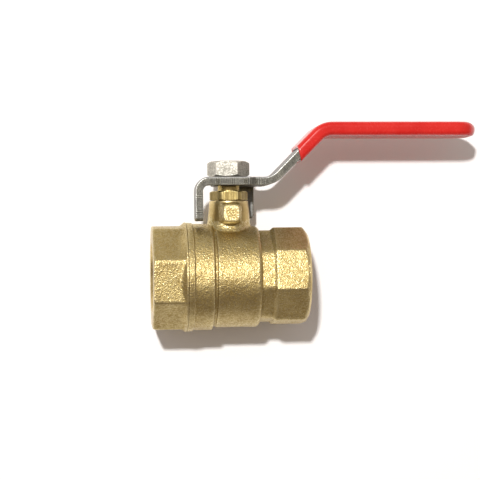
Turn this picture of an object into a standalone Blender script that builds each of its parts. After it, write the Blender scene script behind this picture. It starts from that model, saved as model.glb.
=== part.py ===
import math

import bmesh
import bpy
from mathutils import Matrix, Vector

# A one-inch two-piece ball valve with a lever. The origin is the centre of the ball.
# X runs along the pipe, towards the lever's grip, and Z runs up the stem. The rest pose is open.

MM = 0.001

# Clearances
GAP = 0.3 * MM            # between any two pieces that touch or turn on each other
BALL_ROOM = 1.5 * MM      # between the ball and the chamber wall

# Driving sizes: flow path
FACE_TO_FACE = 71.4 * MM
BORE_R = 12.5 * MM
BALL_R = 18.0 * MM
SOCKET_R = 15.2 * MM      # crest radius of the G1 female pipe threads
SOCKET_DEPTH = 16.4 * MM
SOCKET_CHAMFER = 1.5 * MM
SEAT_RING_WIDTH = 3.7 * MM
SEAT_LENGTH = 3.5 * MM
SEAT_SHOULDER = 2.0 * MM     # least wall between a seat and the pipe socket behind it
CAP_THREAD_STEP = 1.3 * MM   # from the chamber's wall out to the end cap's male thread
JOINT_X = -20.0 * MM         # where the body ends and the end cap begins

# Driving sizes: outside of the body, from the end cap to the far end
CAP_FLATS = 46.0 * MM
CAP_TILT = -4.0              # degrees that the front flat leans up
CAP_FLANGE_R = BALL_R + 7.1 * MM
CAP_FLANGE_WIDTH = 1.0 * MM
CAP_CONE_WIDTH = 2.9 * MM
BODY_RIM_R = BALL_R + 7.0 * MM
BODY_RIM_WIDTH = 2.6 * MM
BAND_R = BALL_R + 6.4 * MM
BARREL_R = BALL_R + 5.2 * MM
GROOVE_START_X = -8.8 * MM
GROOVE_WIDTH = 1.7 * MM
GROOVE_DEPTH = 0.5 * MM
BARREL_END_X = BALL_R - 4.8 * MM
BARREL_END_ROUND = 2.0 * MM
WAIST_FLATS = 41.6 * MM
WAIST_END_X = 17.6 * MM
BODY_FLATS = 42.9 * MM
BODY_FLATS_START_X = 20.4 * MM
BODY_TILT = 9.0              # degrees that the front flat leans up
END_CHAMFER = 2.7 * MM
CAP_END_CHAMFER = 0.8 * MM
CHAMFER_SLOPE = 1.33         # radius lost for each millimetre along X

# Driving sizes: neck, stem and gland
NECK_R = 9.3 * MM
NECK_TOP_Z = BALL_R + 16.9 * MM
NECK_FLARE = 0.6 * MM
NECK_FLARE_HEIGHT = 3.0 * MM
LUG_FOOT = 8.9 * MM
LUG_TIP = 6.8 * MM
LUG_REACH = 15.75 * MM
LUG_Z = BALL_R + 10.8 * MM
STEM_R = 5.0 * MM
STEM_FLATS = 7.5 * MM
COLLAR_WALL = 1.6 * MM
COLLAR_HEIGHT = 1.9 * MM
COLLAR_TOP_Z = BALL_R + 3.6 * MM
TANG_THICKNESS = 5.8 * MM
TANG_DEPTH = 3.1 * MM        # how far the tang reaches into the ball
WASHER_HEIGHT = 1.0 * MM
STEM_LAND = 2.2 * MM         # height of the bored land between washer and packing
GLAND_THREAD_R = 7.0 * MM
PACKING_HEIGHT = 1.9 * MM
GLAND_HEX_FLATS = 16.0 * MM
GLAND_HEX_ROUND_R = 8.75 * MM
GLAND_HEX_HEIGHT = 4.1 * MM
STEM_SHOULDER_Z = BALL_R + 23.5 * MM

# Driving sizes: lever, grip and nut
PLATE = 3.8 * MM
PLATE_BEND_R = 4.8 * MM      # along the middle of the plate
ARM_WIDTH = 19.5 * MM
HUB_FRONT = 12.0 * MM        # from the stem's axis to the hub's front edge
HUB_END_X = 9.3 * MM
ARM_RISE_X = 19.6 * MM       # corner where the arm turns up
ARM_TOP_X = 43.2 * MM        # corner where it turns level again
ARM_RISE = 23.8 * MM
ARM_BEND_R = 10.0 * MM
LEVER_REACH = 114.4 * MM
TAB_FACE = 12.6 * MM         # from the stem's axis to the inner face of a stop tab
TAB_LENGTH = 8.4 * MM
FRONT_TAB_BOTTOM_Z = BALL_R + 7.5 * MM
REAR_TAB_BOTTOM_Z = BALL_R + 9.0 * MM
GRIP_WALL = 1.35 * MM
GRIP_START_X = 31.0 * MM
GRIP_ROUND = 2.2 * MM
NUT_FLATS = 17.0 * MM
NUT_HEIGHT = 7.2 * MM
NUT_TURN = -10.0             # degrees about the stem
NUT_CHAMFER = 1.0 * MM

# Fineness of the round shapes
ROUND_STEPS = 64
SMALL_STEPS = 48
ARC_STEPS = 6                # in a quarter turn
COMMON_PLACES = 7            # decimal places of a metre kept in the lever's outlines

ALONG_X = Matrix.Rotation(math.pi / 2, 4, "Y")
FRONT_VIEW = Matrix.Rotation(math.pi / 2, 4, "X")
SIDE_VIEW = Matrix(((0, 0, 1, 0), (1, 0, 0, 0), (0, 1, 0, 0), (0, 0, 0, 1)))
UPRIGHT = Matrix.Identity(4)


def corner_radius(flats, sides):
    # Radius over the corners of a regular polygon of this width across its flats
    return flats / 2 / math.cos(math.pi / sides)


def new_collection(name):
    collection = bpy.data.collections.new(name)
    bpy.context.scene.collection.children.link(collection)
    return collection


def finish(obj, material):
    obj.data.materials.append(material)
    parts.objects.link(obj)
    return obj


def make_material(name, colour, metallic, roughness):
    material = bpy.data.materials.new(name)
    material.use_nodes = True
    shader = material.node_tree.nodes["Principled BSDF"]
    shader.inputs["Base Color"].default_value = (*colour, 1)
    shader.inputs["Metallic"].default_value = metallic
    shader.inputs["Roughness"].default_value = roughness
    material.diffuse_color = (*colour, 1)
    return material


def as_cutter(obj):
    cutters.objects.link(obj)
    obj.hide_render = True
    obj.display_type = "WIRE"
    return obj


def combine(target, operation, other):
    step = target.modifiers.new(other.name, "BOOLEAN")
    step.operation = operation
    step.solver = "EXACT"
    step.object = other


def turned(name, profile, placing, steps=ROUND_STEPS, ring=False):
    # A solid turned from (height, radius) points, listed from its top down its outer side.
    mesh = bpy.data.meshes.new(name)
    points = [(radius, 0, height) for height, radius in profile]
    edges = [(index, index + 1) for index in range(len(points) - 1)]
    if ring:
        edges.append((len(points) - 1, 0))
    mesh.from_pydata(points, edges, [])
    obj = bpy.data.objects.new(name, mesh)
    screw = obj.modifiers.new("Turn", "SCREW")
    screw.axis = "Z"
    screw.steps = steps
    screw.render_steps = steps
    screw.use_merge_vertices = True
    screw.merge_threshold = 0.000001
    obj.matrix_world = placing
    return obj


def ring(name, low, high, inner, outer, placing=UPRIGHT):
    profile = [(high, outer), (low, outer), (low, inner), (high, inner)]
    return turned(name, profile, placing, SMALL_STEPS, ring=True)


def block(name, low, high):
    mesh = bpy.data.meshes.new(name)
    cube = bmesh.new()
    bmesh.ops.create_cube(cube, size=1)
    size = Vector(high) - Vector(low)
    bmesh.ops.scale(cube, vec=size, verts=cube.verts)
    bmesh.ops.translate(cube, vec=(Vector(high) + Vector(low)) / 2, verts=cube.verts)
    cube.to_mesh(mesh)
    cube.free()
    return bpy.data.objects.new(name, mesh)


def rounded(corners, closed=True):
    # Replaces each (x, y, radius) corner with an arc that touches both of its sides.
    points = []
    count = len(corners)
    for index, (x, y, radius) in enumerate(corners):
        corner = Vector((x, y))
        if radius == 0 or (not closed and index in (0, count - 1)):
            points.append(corner)
            continue
        before = (Vector(corners[index - 1][:2]) - corner).normalized()
        after = (Vector(corners[(index + 1) % count][:2]) - corner).normalized()
        half = before.angle(after) / 2
        centre = corner + (before + after).normalized() * radius / math.sin(half)
        start = corner + before * radius / math.tan(half) - centre
        end = corner + after * radius / math.tan(half) - centre
        first = math.atan2(start.y, start.x)
        sweep = (math.atan2(end.y, end.x) - first + math.pi) % math.tau - math.pi
        steps = max(2, round(ARC_STEPS * abs(sweep) / (math.pi / 2)))
        for step in range(steps + 1):
            angle = first + sweep * step / steps
            points.append(centre + Vector((math.cos(angle), math.sin(angle))) * radius)
    return points


def strip(path, thickness):
    # The outline of a bent plate: its middle line moved half the thickness to each side.
    left = []
    right = []
    for index, point in enumerate(path):
        before = (point - path[index - 1]).normalized() if index else None
        after = (path[index + 1] - point).normalized() if index + 1 < len(path) else before
        along = (after + (before or after)).normalized()
        reach = thickness / 2 / along.dot(after)
        across = Vector((-along.y, along.x)) * reach
        left.append(point + across)
        right.append(point - across)
    return left + right[::-1]


def in_common_planes(outline):
    # Rounding puts faces of two outlines that are meant to be level in one plane exactly.
    return [Vector([round(value, COMMON_PLACES) for value in point]) for point in outline]


def extruded(name, outline, depth, placing):
    # A flat outline, filled and given a depth that is centred on its own plane.
    curve = bpy.data.curves.new(name, "CURVE")
    curve.dimensions = "2D"
    curve.fill_mode = "BOTH"
    curve.extrude = depth / 2
    spline = curve.splines.new("POLY")
    spline.points.add(len(outline) - 1)
    for target, point in zip(spline.points, outline):
        target.co = (point.x, point.y, 0, 1)
    spline.use_cyclic_u = True
    drawn = bpy.data.objects.new(name + "_drawn", curve)
    drawn.matrix_world = placing
    bpy.context.scene.collection.objects.link(drawn)
    graph = bpy.context.evaluated_depsgraph_get()
    mesh = bpy.data.meshes.new_from_object(drawn.evaluated_get(graph))
    solid = bmesh.new()
    solid.from_mesh(mesh)
    bmesh.ops.remove_doubles(solid, verts=solid.verts, dist=0.000001)
    bmesh.ops.recalc_face_normals(solid, faces=solid.faces)
    solid.to_mesh(mesh)
    solid.free()
    obj = bpy.data.objects.new(name, mesh)
    obj.matrix_world = drawn.matrix_world
    bpy.data.objects.remove(drawn)
    return obj


def flats_along_x(name, profile, tilt):
    # An octagonal solid along X, whose front flat leans up by the tilt in degrees
    turn = Matrix.Rotation(math.radians(22.5 - tilt), 4, "Z")
    return turned(name, profile, ALONG_X @ turn, steps=8)


def octagon(width_over_flats):
    return corner_radius(width_over_flats, 8)


for old in list(bpy.data.objects):
    bpy.data.objects.remove(old)

parts = new_collection("ball_valve")
cutters = new_collection("ball_valve_cutters")

forged_brass = make_material("forged_brass", (0.55, 0.36, 0.11), 1.0, 0.42)
cap_brass = make_material("cap_brass", (0.57, 0.38, 0.12), 1.0, 0.40)
turned_brass = make_material("turned_brass", (0.66, 0.45, 0.15), 1.0, 0.22)
stem_brass = make_material("stem_brass", (0.50, 0.34, 0.12), 1.0, 0.28)
chrome = make_material("ball_chrome", (0.80, 0.81, 0.83), 1.0, 0.06)
seat_plastic_left = make_material("seat_plastic_left", (0.86, 0.86, 0.84), 0.0, 0.35)
seat_plastic_right = make_material("seat_plastic_right", (0.86, 0.86, 0.84), 0.0, 0.35)
washer_plastic = make_material("washer_plastic", (0.84, 0.84, 0.82), 0.0, 0.38)
packing_plastic_lower = make_material("packing_plastic_lower", (0.87, 0.87, 0.85), 0.0, 0.38)
packing_plastic_upper = make_material("packing_plastic_upper", (0.87, 0.87, 0.85), 0.0, 0.38)
lever_steel = make_material("lever_steel", (0.52, 0.52, 0.50), 1.0, 0.38)
nut_steel = make_material("nut_steel", (0.72, 0.70, 0.66), 1.0, 0.25)
red_vinyl = make_material("red_vinyl", (0.72, 0.02, 0.015), 0.0, 0.22)

# Places along the pipe, worked out from the driving sizes
face_x = FACE_TO_FACE / 2
seat_inner_r = BORE_R + GAP
seat_outer_r = seat_inner_r + SEAT_RING_WIDTH
seat_pocket_r = seat_outer_r + GAP
seat_touch_r = (seat_inner_r + seat_outer_r) / 2
seat_front_x = math.sqrt((BALL_R + GAP) ** 2 - seat_touch_r ** 2)
seat_lip_x = math.sqrt((BALL_R + GAP) ** 2 - seat_inner_r ** 2)
seat_back_x = seat_front_x + SEAT_LENGTH
pocket_bottom_x = seat_back_x + GAP
socket_bottom_x = max(face_x - SOCKET_DEPTH, pocket_bottom_x + SEAT_SHOULDER)
chamber_r = BALL_R + BALL_ROOM
cap_thread_r = chamber_r + CAP_THREAD_STEP
cap_thread_bore_r = cap_thread_r + GAP

# Places up the stem
collar_r = STEM_R + COLLAR_WALL
collar_bore_r = collar_r + GAP
stem_bore_r = STEM_R + GAP
washer_low_z = COLLAR_TOP_Z + GAP
washer_high_z = washer_low_z + WASHER_HEIGHT
land_low_z = washer_high_z + GAP
land_high_z = land_low_z + STEM_LAND
gland_bore_r = GLAND_THREAD_R + GAP
packing_low_z = land_high_z + GAP
packing_middle_z = packing_low_z + PACKING_HEIGHT
packing_high_z = packing_middle_z + GAP + PACKING_HEIGHT
gland_low_z = packing_high_z + GAP
gland_seat_z = NECK_TOP_Z + GAP
gland_high_z = gland_seat_z + GLAND_HEX_HEIGHT
plate_low_z = STEM_SHOULDER_Z + GAP
plate_high_z = plate_low_z + PLATE
plate_middle_z = plate_low_z + PLATE / 2
nut_low_z = plate_high_z + GAP
nut_high_z = nut_low_z + NUT_HEIGHT
stem_top_z = nut_high_z - GAP


def flow_profile():
    # The bored inside of a housing, from the mouth of its pipe socket to the front of its seat
    return [
        (face_x + GAP, SOCKET_R + (SOCKET_CHAMFER + GAP) / CHAMFER_SLOPE),
        (face_x - SOCKET_CHAMFER, SOCKET_R),
        (socket_bottom_x, SOCKET_R),
        (socket_bottom_x, BORE_R),
        (pocket_bottom_x, BORE_R),
        (pocket_bottom_x, seat_pocket_r),
        (seat_front_x, seat_pocket_r),
    ]


def make_body():
    rim_x = JOINT_X
    band_x = rim_x + BODY_RIM_WIDTH
    groove_end_x = GROOVE_START_X + GROOVE_WIDTH
    end_arc = [
        (
            BARREL_END_X - BARREL_END_ROUND * (1 - math.cos(angle)),
            BARREL_R - BARREL_END_ROUND * (1 - math.sin(angle)),
        )
        for angle in (math.radians(30 * step) for step in range(4))
    ]
    barrel = [(BARREL_END_X, 0), *end_arc]
    barrel += [
        (groove_end_x + GROOVE_DEPTH, BARREL_R),
        (groove_end_x, BARREL_R - GROOVE_DEPTH),
        (GROOVE_START_X, BARREL_R - GROOVE_DEPTH),
        (GROOVE_START_X - GROOVE_DEPTH, BAND_R),
        (band_x + GROOVE_DEPTH, BAND_R),
        (band_x, BAND_R + (BODY_RIM_R - BAND_R) / 2),
        (rim_x + GAP, BODY_RIM_R),
        (rim_x, BODY_RIM_R - GAP),
        (rim_x, 0),
    ]
    body = finish(turned("body", barrel, ALONG_X), forged_brass)

    octagon_end = [
        (face_x, 0),
        (face_x, octagon(BODY_FLATS)),
        (BODY_FLATS_START_X, octagon(BODY_FLATS)),
        (WAIST_END_X, octagon(WAIST_FLATS)),
        (BARREL_END_X - BARREL_END_ROUND, octagon(WAIST_FLATS)),
        (BARREL_END_X - BARREL_END_ROUND, 0),
    ]
    end = as_cutter(flats_along_x("body_octagon", octagon_end, BODY_TILT))
    over_corners = octagon(BODY_FLATS) + GAP
    envelope = [
        (face_x + GAP, 0),
        (face_x + GAP, over_corners - (END_CHAMFER + GAP) * CHAMFER_SLOPE),
        (face_x - END_CHAMFER, over_corners),
        (0, over_corners),
        (0, 0),
    ]
    combine(end, "INTERSECT", as_cutter(turned("body_end_envelope", envelope, ALONG_X)))
    combine(body, "UNION", end)

    neck_foot_z = chamber_r
    flare_top_z = BARREL_R + NECK_FLARE_HEIGHT
    neck = [
        (NECK_TOP_Z, 0),
        (NECK_TOP_Z, NECK_R - 2 * GAP),
        (NECK_TOP_Z - 2 * GAP, NECK_R),
        (flare_top_z, NECK_R),
        (flare_top_z - NECK_FLARE_HEIGHT, NECK_R + NECK_FLARE),
        (neck_foot_z, NECK_R + 2 * NECK_FLARE),
        (neck_foot_z, 0),
    ]
    combine(body, "UNION", as_cutter(turned("body_neck", neck, UPRIGHT)))
    for side in (-1, 1):
        combine(body, "UNION", make_lug(side))

    bored = [
        (face_x + GAP, 0),
        *flow_profile(),
        (seat_front_x - (chamber_r - seat_pocket_r), chamber_r),
        (-seat_front_x, chamber_r),
        (-seat_front_x, cap_thread_bore_r),
        (JOINT_X - GAP, cap_thread_bore_r),
        (JOINT_X - GAP, 0),
    ]
    combine(body, "DIFFERENCE", as_cutter(turned("body_bored_inside", bored, ALONG_X)))

    stem_hole = [
        (NECK_TOP_Z + GAP, 0),
        (NECK_TOP_Z + GAP, gland_bore_r + GAP),
        (NECK_TOP_Z - 2 * GAP, gland_bore_r),
        (land_high_z, gland_bore_r),
        (land_high_z, stem_bore_r),
        (land_low_z, stem_bore_r),
        (land_low_z, collar_bore_r),
        (BALL_R / 2, collar_bore_r),
        (BALL_R / 2, 0),
    ]
    hole = as_cutter(turned("body_stem_hole", stem_hole, UPRIGHT, SMALL_STEPS))
    combine(body, "DIFFERENCE", hole)


def make_lug(side):
    # A drafted square stop on the neck's front (-1) or back (1)
    mesh = bpy.data.meshes.new("body_lug")
    solid = bmesh.new()
    foot_y = NECK_R / 2
    draft = (LUG_FOOT - LUG_TIP) / (LUG_REACH - NECK_R)
    hidden_foot = LUG_FOOT + draft * (NECK_R - foot_y)
    bmesh.ops.create_cone(
        solid,
        cap_ends=True,
        segments=4,
        radius1=corner_radius(hidden_foot, 4),
        radius2=corner_radius(LUG_TIP, 4),
        depth=LUG_REACH - foot_y,
    )
    bmesh.ops.rotate(solid, matrix=Matrix.Rotation(math.pi / 4, 3, "Z"), verts=solid.verts)
    bmesh.ops.translate(solid, vec=(0, 0, (LUG_REACH + foot_y) / 2), verts=solid.verts)
    solid.to_mesh(mesh)
    solid.free()
    lug = bpy.data.objects.new("body_lug_front" if side < 0 else "body_lug_back", mesh)
    point_out = Matrix.Rotation(-side * math.pi / 2, 4, "X")
    lug.matrix_world = Matrix.Translation((0, 0, LUG_Z)) @ point_out
    bevel = lug.modifiers.new("Round", "BEVEL")
    bevel.width = LUG_TIP / 5
    bevel.segments = 3
    return as_cutter(lug)


def make_end_cap():
    joint_x = JOINT_X - GAP
    cone_x = joint_x - CAP_FLANGE_WIDTH
    corner = octagon(CAP_FLATS)
    over_corners = corner + GAP
    octagon_end = [(cone_x, 0), (cone_x, corner), (-face_x, corner), (-face_x, 0)]
    end_cap = flats_along_x("end_cap", octagon_end, CAP_TILT)
    finish(end_cap, cap_brass)
    envelope = [
        (0, 0),
        (0, over_corners),
        (-face_x + CAP_END_CHAMFER, over_corners),
        (-face_x - GAP, over_corners - (CAP_END_CHAMFER + GAP) * CHAMFER_SLOPE),
        (-face_x - GAP, 0),
    ]
    combine(end_cap, "INTERSECT", as_cutter(turned("cap_end_envelope", envelope, ALONG_X)))

    foot_r = CAP_FLATS / 2 - GAP
    rise = CAP_FLANGE_R - foot_r
    cone = [
        (
            cone_x - CAP_CONE_WIDTH * math.sin(angle),
            foot_r + rise * (1 - math.sin(angle)),
        )
        for angle in (math.radians(22.5 * step) for step in range(5))
    ]
    flange = [
        (-seat_front_x - GAP, 0),
        (-seat_front_x - GAP, cap_thread_r - GAP),
        (-seat_front_x - 3 * GAP, cap_thread_r),
        (joint_x, cap_thread_r),
        (joint_x, CAP_FLANGE_R - GAP),
        (joint_x - GAP, CAP_FLANGE_R),
        *cone,
        (cone[-1][0], 0),
    ]
    combine(end_cap, "UNION", as_cutter(turned("cap_flange", flange, ALONG_X)))

    bored = [
        (0, 0),
        (0, seat_pocket_r),
        *[(-height, radius) for height, radius in flow_profile()][::-1],
        (-face_x - GAP, 0),
    ]
    combine(end_cap, "DIFFERENCE", as_cutter(turned("cap_bored_inside", bored, ALONG_X)))


def make_ball():
    edge_angle = math.asin(BORE_R / BALL_R)
    steps = 16
    sweep = math.pi - 2 * edge_angle
    profile = [
        (
            BALL_R * math.cos(edge_angle + sweep * step / steps),
            BALL_R * math.sin(edge_angle + sweep * step / steps),
        )
        for step in range(steps + 1)
    ]
    lip = 2 * GAP
    edge_x = profile[0][0]
    profile[0] = (edge_x - GAP, BORE_R + lip)
    profile[-1] = (GAP - edge_x, BORE_R + lip)
    profile += [(lip + GAP - edge_x, BORE_R), (edge_x - lip - GAP, BORE_R)]
    ball = finish(turned("ball", profile, ALONG_X, ring=True), chrome)
    half_slot = TANG_THICKNESS / 2 + GAP
    slot_floor_z = BALL_R - TANG_DEPTH - GAP
    slot = block(
        "ball_slot",
        (-half_slot, -BALL_R, slot_floor_z),
        (half_slot, BALL_R, BALL_R + BALL_ROOM),
    )
    combine(ball, "DIFFERENCE", as_cutter(slot))


def make_seat(name, side, material):
    # The ring's front is coned to lie against the ball.
    profile = [
        (seat_back_x, seat_outer_r),
        (seat_front_x, seat_outer_r),
        (seat_front_x, seat_touch_r),
        (seat_lip_x, seat_inner_r),
        (seat_back_x, seat_inner_r),
    ]
    if side < 0:
        profile = [(-height, radius) for height, radius in profile][::-1]
    finish(turned(name, profile, ALONG_X, ring=True), material)


def make_stem():
    tang_bottom_z = BALL_R - TANG_DEPTH
    collar_low_z = COLLAR_TOP_Z - COLLAR_HEIGHT
    profile = [
        (stem_top_z, 0),
        (stem_top_z, STEM_R - 3 * GAP),
        (stem_top_z - 3 * GAP, STEM_R),
        (COLLAR_TOP_Z, STEM_R),
        (COLLAR_TOP_Z, collar_r),
        (collar_low_z, collar_r),
        (collar_low_z, STEM_R),
        (tang_bottom_z, STEM_R),
        (tang_bottom_z, 0),
    ]
    stem = finish(turned("stem", profile, UPRIGHT, SMALL_STEPS), stem_brass)
    for side in (-1, 1):
        inner = sorted((side * STEM_FLATS / 2, side * 2 * STEM_R))
        flat = block(
            "stem_flat",
            (-2 * STEM_R, inner[0], STEM_SHOULDER_Z),
            (2 * STEM_R, inner[1], stem_top_z + GAP),
        )
        combine(stem, "DIFFERENCE", as_cutter(flat))
        inner = sorted((side * TANG_THICKNESS / 2, side * 2 * STEM_R))
        cheek = block(
            "tang_cheek",
            (inner[0], -2 * STEM_R, tang_bottom_z - GAP),
            (inner[1], 2 * STEM_R, collar_low_z),
        )
        combine(stem, "DIFFERENCE", as_cutter(cheek))


def make_stem_seals():
    washer = ring("stem_thrust_washer", washer_low_z, washer_high_z, stem_bore_r, collar_r)
    finish(washer, washer_plastic)
    lower = ring(
        "stem_packing_lower", packing_low_z, packing_middle_z, stem_bore_r, GLAND_THREAD_R
    )
    finish(lower, packing_plastic_lower)
    upper = ring(
        "stem_packing_upper",
        packing_middle_z + GAP,
        packing_high_z,
        stem_bore_r,
        GLAND_THREAD_R,
    )
    finish(upper, packing_plastic_upper)


def hexagon(name, flats, low, high, turn):
    # The front flat faces -Y when the turn is 0.
    corner = corner_radius(flats, 6)
    profile = [(high, 0), (high, corner), (low, corner), (low, 0)]
    return turned(name, profile, Matrix.Rotation(math.radians(turn), 4, "Z"), steps=6)


def make_gland_nut():
    gland = hexagon("gland_nut", GLAND_HEX_FLATS, gland_seat_z, gland_high_z, 0)
    finish(gland, turned_brass)
    envelope = [
        (gland_high_z + GAP, 0),
        (gland_high_z + GAP, GLAND_HEX_ROUND_R - 3 * GAP),
        (gland_high_z - 2 * GAP, GLAND_HEX_ROUND_R),
        (gland_seat_z - GAP, GLAND_HEX_ROUND_R),
        (gland_seat_z - GAP, 0),
    ]
    combine(gland, "INTERSECT", as_cutter(turned("gland_envelope", envelope, UPRIGHT)))
    thread = [
        (gland_seat_z + GAP, 0),
        (gland_seat_z + GAP, GLAND_THREAD_R),
        (gland_low_z, GLAND_THREAD_R),
        (gland_low_z, 0),
    ]
    thread = as_cutter(turned("gland_thread", thread, UPRIGHT, SMALL_STEPS))
    combine(gland, "UNION", thread)
    hole = [
        (gland_high_z + GAP, 0),
        (gland_high_z + GAP, stem_bore_r),
        (gland_low_z - GAP, stem_bore_r),
        (gland_low_z - GAP, 0),
    ]
    combine(gland, "DIFFERENCE", as_cutter(turned("gland_hole", hole, UPRIGHT, SMALL_STEPS)))


# The lever is bent in the front view and cut to its outline in the plan.
tab_middle = TAB_FACE + PLATE / 2
tab_edge = LUG_FOOT / 2 + GAP
handle_z = plate_middle_z + ARM_RISE
arm_path = [
    (ARM_RISE_X, plate_middle_z, ARM_BEND_R),
    (ARM_TOP_X, handle_z, ARM_BEND_R),
]


def handle_plan(extra):
    # The handle's outline from above, widened all round by the extra. It starts on the
    # level hub, so that no short edge lies where the grip's long edges are rounded.
    half = ARM_WIDTH / 2 + extra
    tip = LEVER_REACH + extra
    nose = half - 2 * GAP
    return [
        (tip, half, nose),
        (HUB_END_X, half, 0),
        (HUB_END_X, -half, 0),
        (tip, -half, nose),
    ]


def make_lever():
    bent = [
        (-tab_middle, FRONT_TAB_BOTTOM_Z, 0),
        (-tab_middle, plate_middle_z, PLATE_BEND_R),
        *arm_path,
        (LEVER_REACH + PLATE, handle_z, 0),
    ]
    outline = in_common_planes(strip(rounded(bent, closed=False), PLATE))
    lever = extruded("lever", outline, 4 * HUB_FRONT, FRONT_VIEW)
    finish(lever, lever_steel)

    half = ARM_WIDTH / 2
    tip = LEVER_REACH
    nose = half - 2 * GAP
    hub_left_x = PLATE / 2 + PLATE_BEND_R - tab_middle
    plan = [
        (tip, half, nose),
        (hub_left_x, half, half / 3),
        (hub_left_x, -tab_edge, GAP),
        (-2 * tab_middle, -tab_edge, 0),
        (-2 * tab_middle, -HUB_FRONT, 0),
        (HUB_END_X, -HUB_FRONT, 2 * GAP),
        (HUB_END_X + HUB_FRONT - half, -half, 2 * GAP),
        (tip, -half, nose),
    ]
    height = 4 * handle_z
    combine(
        lever,
        "INTERSECT",
        as_cutter(extruded("lever_plan", rounded(plan), height, UPRIGHT)),
    )

    tab = [
        (half - PLATE / 2, plate_middle_z, 0),
        (tab_middle, plate_middle_z, PLATE_BEND_R),
        (tab_middle, REAR_TAB_BOTTOM_Z, 0),
    ]
    tab_outline = in_common_planes(strip(rounded(tab, closed=False), PLATE))
    across = Matrix.Translation((tab_edge + TAB_LENGTH / 2, 0, 0)) @ SIDE_VIEW
    rear_tab = as_cutter(extruded("lever_rear_tab", tab_outline, TAB_LENGTH, across))
    combine(lever, "UNION", rear_tab)

    hole = [
        (plate_high_z + PLATE, 0),
        (plate_high_z + PLATE, stem_bore_r),
        (plate_low_z - PLATE, stem_bore_r),
        (plate_low_z - PLATE, 0),
    ]
    hole = as_cutter(turned("lever_hole", hole, UPRIGHT, SMALL_STEPS))
    half_flats = STEM_FLATS / 2 + GAP
    between = block(
        "lever_hole_flats",
        (-2 * STEM_R, -half_flats, plate_low_z - PLATE / 2),
        (2 * STEM_R, half_flats, plate_high_z + PLATE / 2),
    )
    combine(hole, "INTERSECT", as_cutter(between))
    combine(lever, "DIFFERENCE", hole)


def handle_solid(name, extra_thickness, extra_width):
    path = [
        (0, plate_middle_z, 0),
        *arm_path,
        (LEVER_REACH + 2 * ARM_BEND_R, handle_z, 0),
    ]
    outline = strip(rounded(path, closed=False), PLATE + 2 * extra_thickness)
    solid = extruded(name, outline, 2 * ARM_WIDTH, FRONT_VIEW)
    plan = rounded(handle_plan(extra_width))
    combine(solid, "INTERSECT", as_cutter(extruded(name + "_plan", plan, 4 * handle_z, UPRIGHT)))
    return solid


def make_grip():
    grip = finish(handle_solid("grip", GRIP_WALL, GRIP_WALL + GAP), red_vinyl)
    bevel = grip.modifiers.new("Round", "BEVEL")
    bevel.width = GRIP_ROUND
    bevel.segments = 3
    bevel.limit_method = "ANGLE"
    bevel.angle_limit = math.radians(60)
    before = block(
        "grip_start",
        (0, -ARM_WIDTH, 0),
        (GRIP_START_X, ARM_WIDTH, 2 * handle_z),
    )
    combine(grip, "DIFFERENCE", as_cutter(before))
    combine(grip, "DIFFERENCE", as_cutter(handle_solid("grip_inside", GAP, GAP)))


def make_lever_nut():
    nut = hexagon("lever_nut", NUT_FLATS, nut_low_z, nut_high_z, NUT_TURN)
    finish(nut, nut_steel)
    over_corners = corner_radius(NUT_FLATS, 6) + GAP
    lost = NUT_CHAMFER / math.tan(math.radians(30))
    envelope = [
        (nut_high_z + GAP, 0),
        (nut_high_z + GAP, over_corners - lost),
        (nut_high_z + GAP - NUT_CHAMFER, over_corners),
        (nut_low_z - GAP + NUT_CHAMFER, over_corners),
        (nut_low_z - GAP, over_corners - lost),
        (nut_low_z - GAP, 0),
    ]
    combine(nut, "INTERSECT", as_cutter(turned("nut_envelope", envelope, UPRIGHT)))
    hole = [
        (nut_high_z + GAP, 0),
        (nut_high_z + GAP, stem_bore_r + 2 * GAP),
        (nut_high_z - 2 * GAP, stem_bore_r),
        (nut_low_z - GAP, stem_bore_r),
        (nut_low_z - GAP, 0),
    ]
    combine(nut, "DIFFERENCE", as_cutter(turned("nut_hole", hole, UPRIGHT, SMALL_STEPS)))


make_body()
make_end_cap()
make_ball()
make_seat("seat_left", -1, seat_plastic_left)
make_seat("seat_right", 1, seat_plastic_right)
make_stem()
make_stem_seals()
make_gland_nut()
make_lever()
make_grip()
make_lever_nut()
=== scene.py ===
import math

import bmesh
import bpy
import numpy as np
from mathutils import Matrix, Vector


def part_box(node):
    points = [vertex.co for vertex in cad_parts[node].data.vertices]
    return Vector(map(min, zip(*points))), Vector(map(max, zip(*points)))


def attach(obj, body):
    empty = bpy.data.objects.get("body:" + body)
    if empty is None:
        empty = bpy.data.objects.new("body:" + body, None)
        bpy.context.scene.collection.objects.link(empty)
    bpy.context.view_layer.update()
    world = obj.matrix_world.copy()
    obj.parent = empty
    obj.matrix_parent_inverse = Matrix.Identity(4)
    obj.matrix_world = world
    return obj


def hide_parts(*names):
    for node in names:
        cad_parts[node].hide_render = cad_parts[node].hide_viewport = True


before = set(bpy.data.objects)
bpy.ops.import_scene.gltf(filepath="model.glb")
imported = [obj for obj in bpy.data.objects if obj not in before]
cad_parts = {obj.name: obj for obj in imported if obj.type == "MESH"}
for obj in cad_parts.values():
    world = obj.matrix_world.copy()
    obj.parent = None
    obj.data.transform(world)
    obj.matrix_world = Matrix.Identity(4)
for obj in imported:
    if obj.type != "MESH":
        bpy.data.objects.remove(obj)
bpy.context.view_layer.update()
print("frame loaded:", len(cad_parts), "nodes")

# A one-inch ball valve. X runs along the pipe towards the grip, Z up the stem.
# Shapes are worked out in millimetres and put into their meshes in metres.

mm = 0.001
hair = 1e-6


def cadBox(node):
    # Lowest and highest corner of a node, in millimetres
    low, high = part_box(node)
    return np.array(low) / mm, np.array(high) / mm


# Shape helpers


def smoothMax(a, b, soft):
    # The larger of the two, rounded over where they cross
    return (a + b + np.sqrt((a - b) ** 2 + soft ** 2)) / 2


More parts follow.
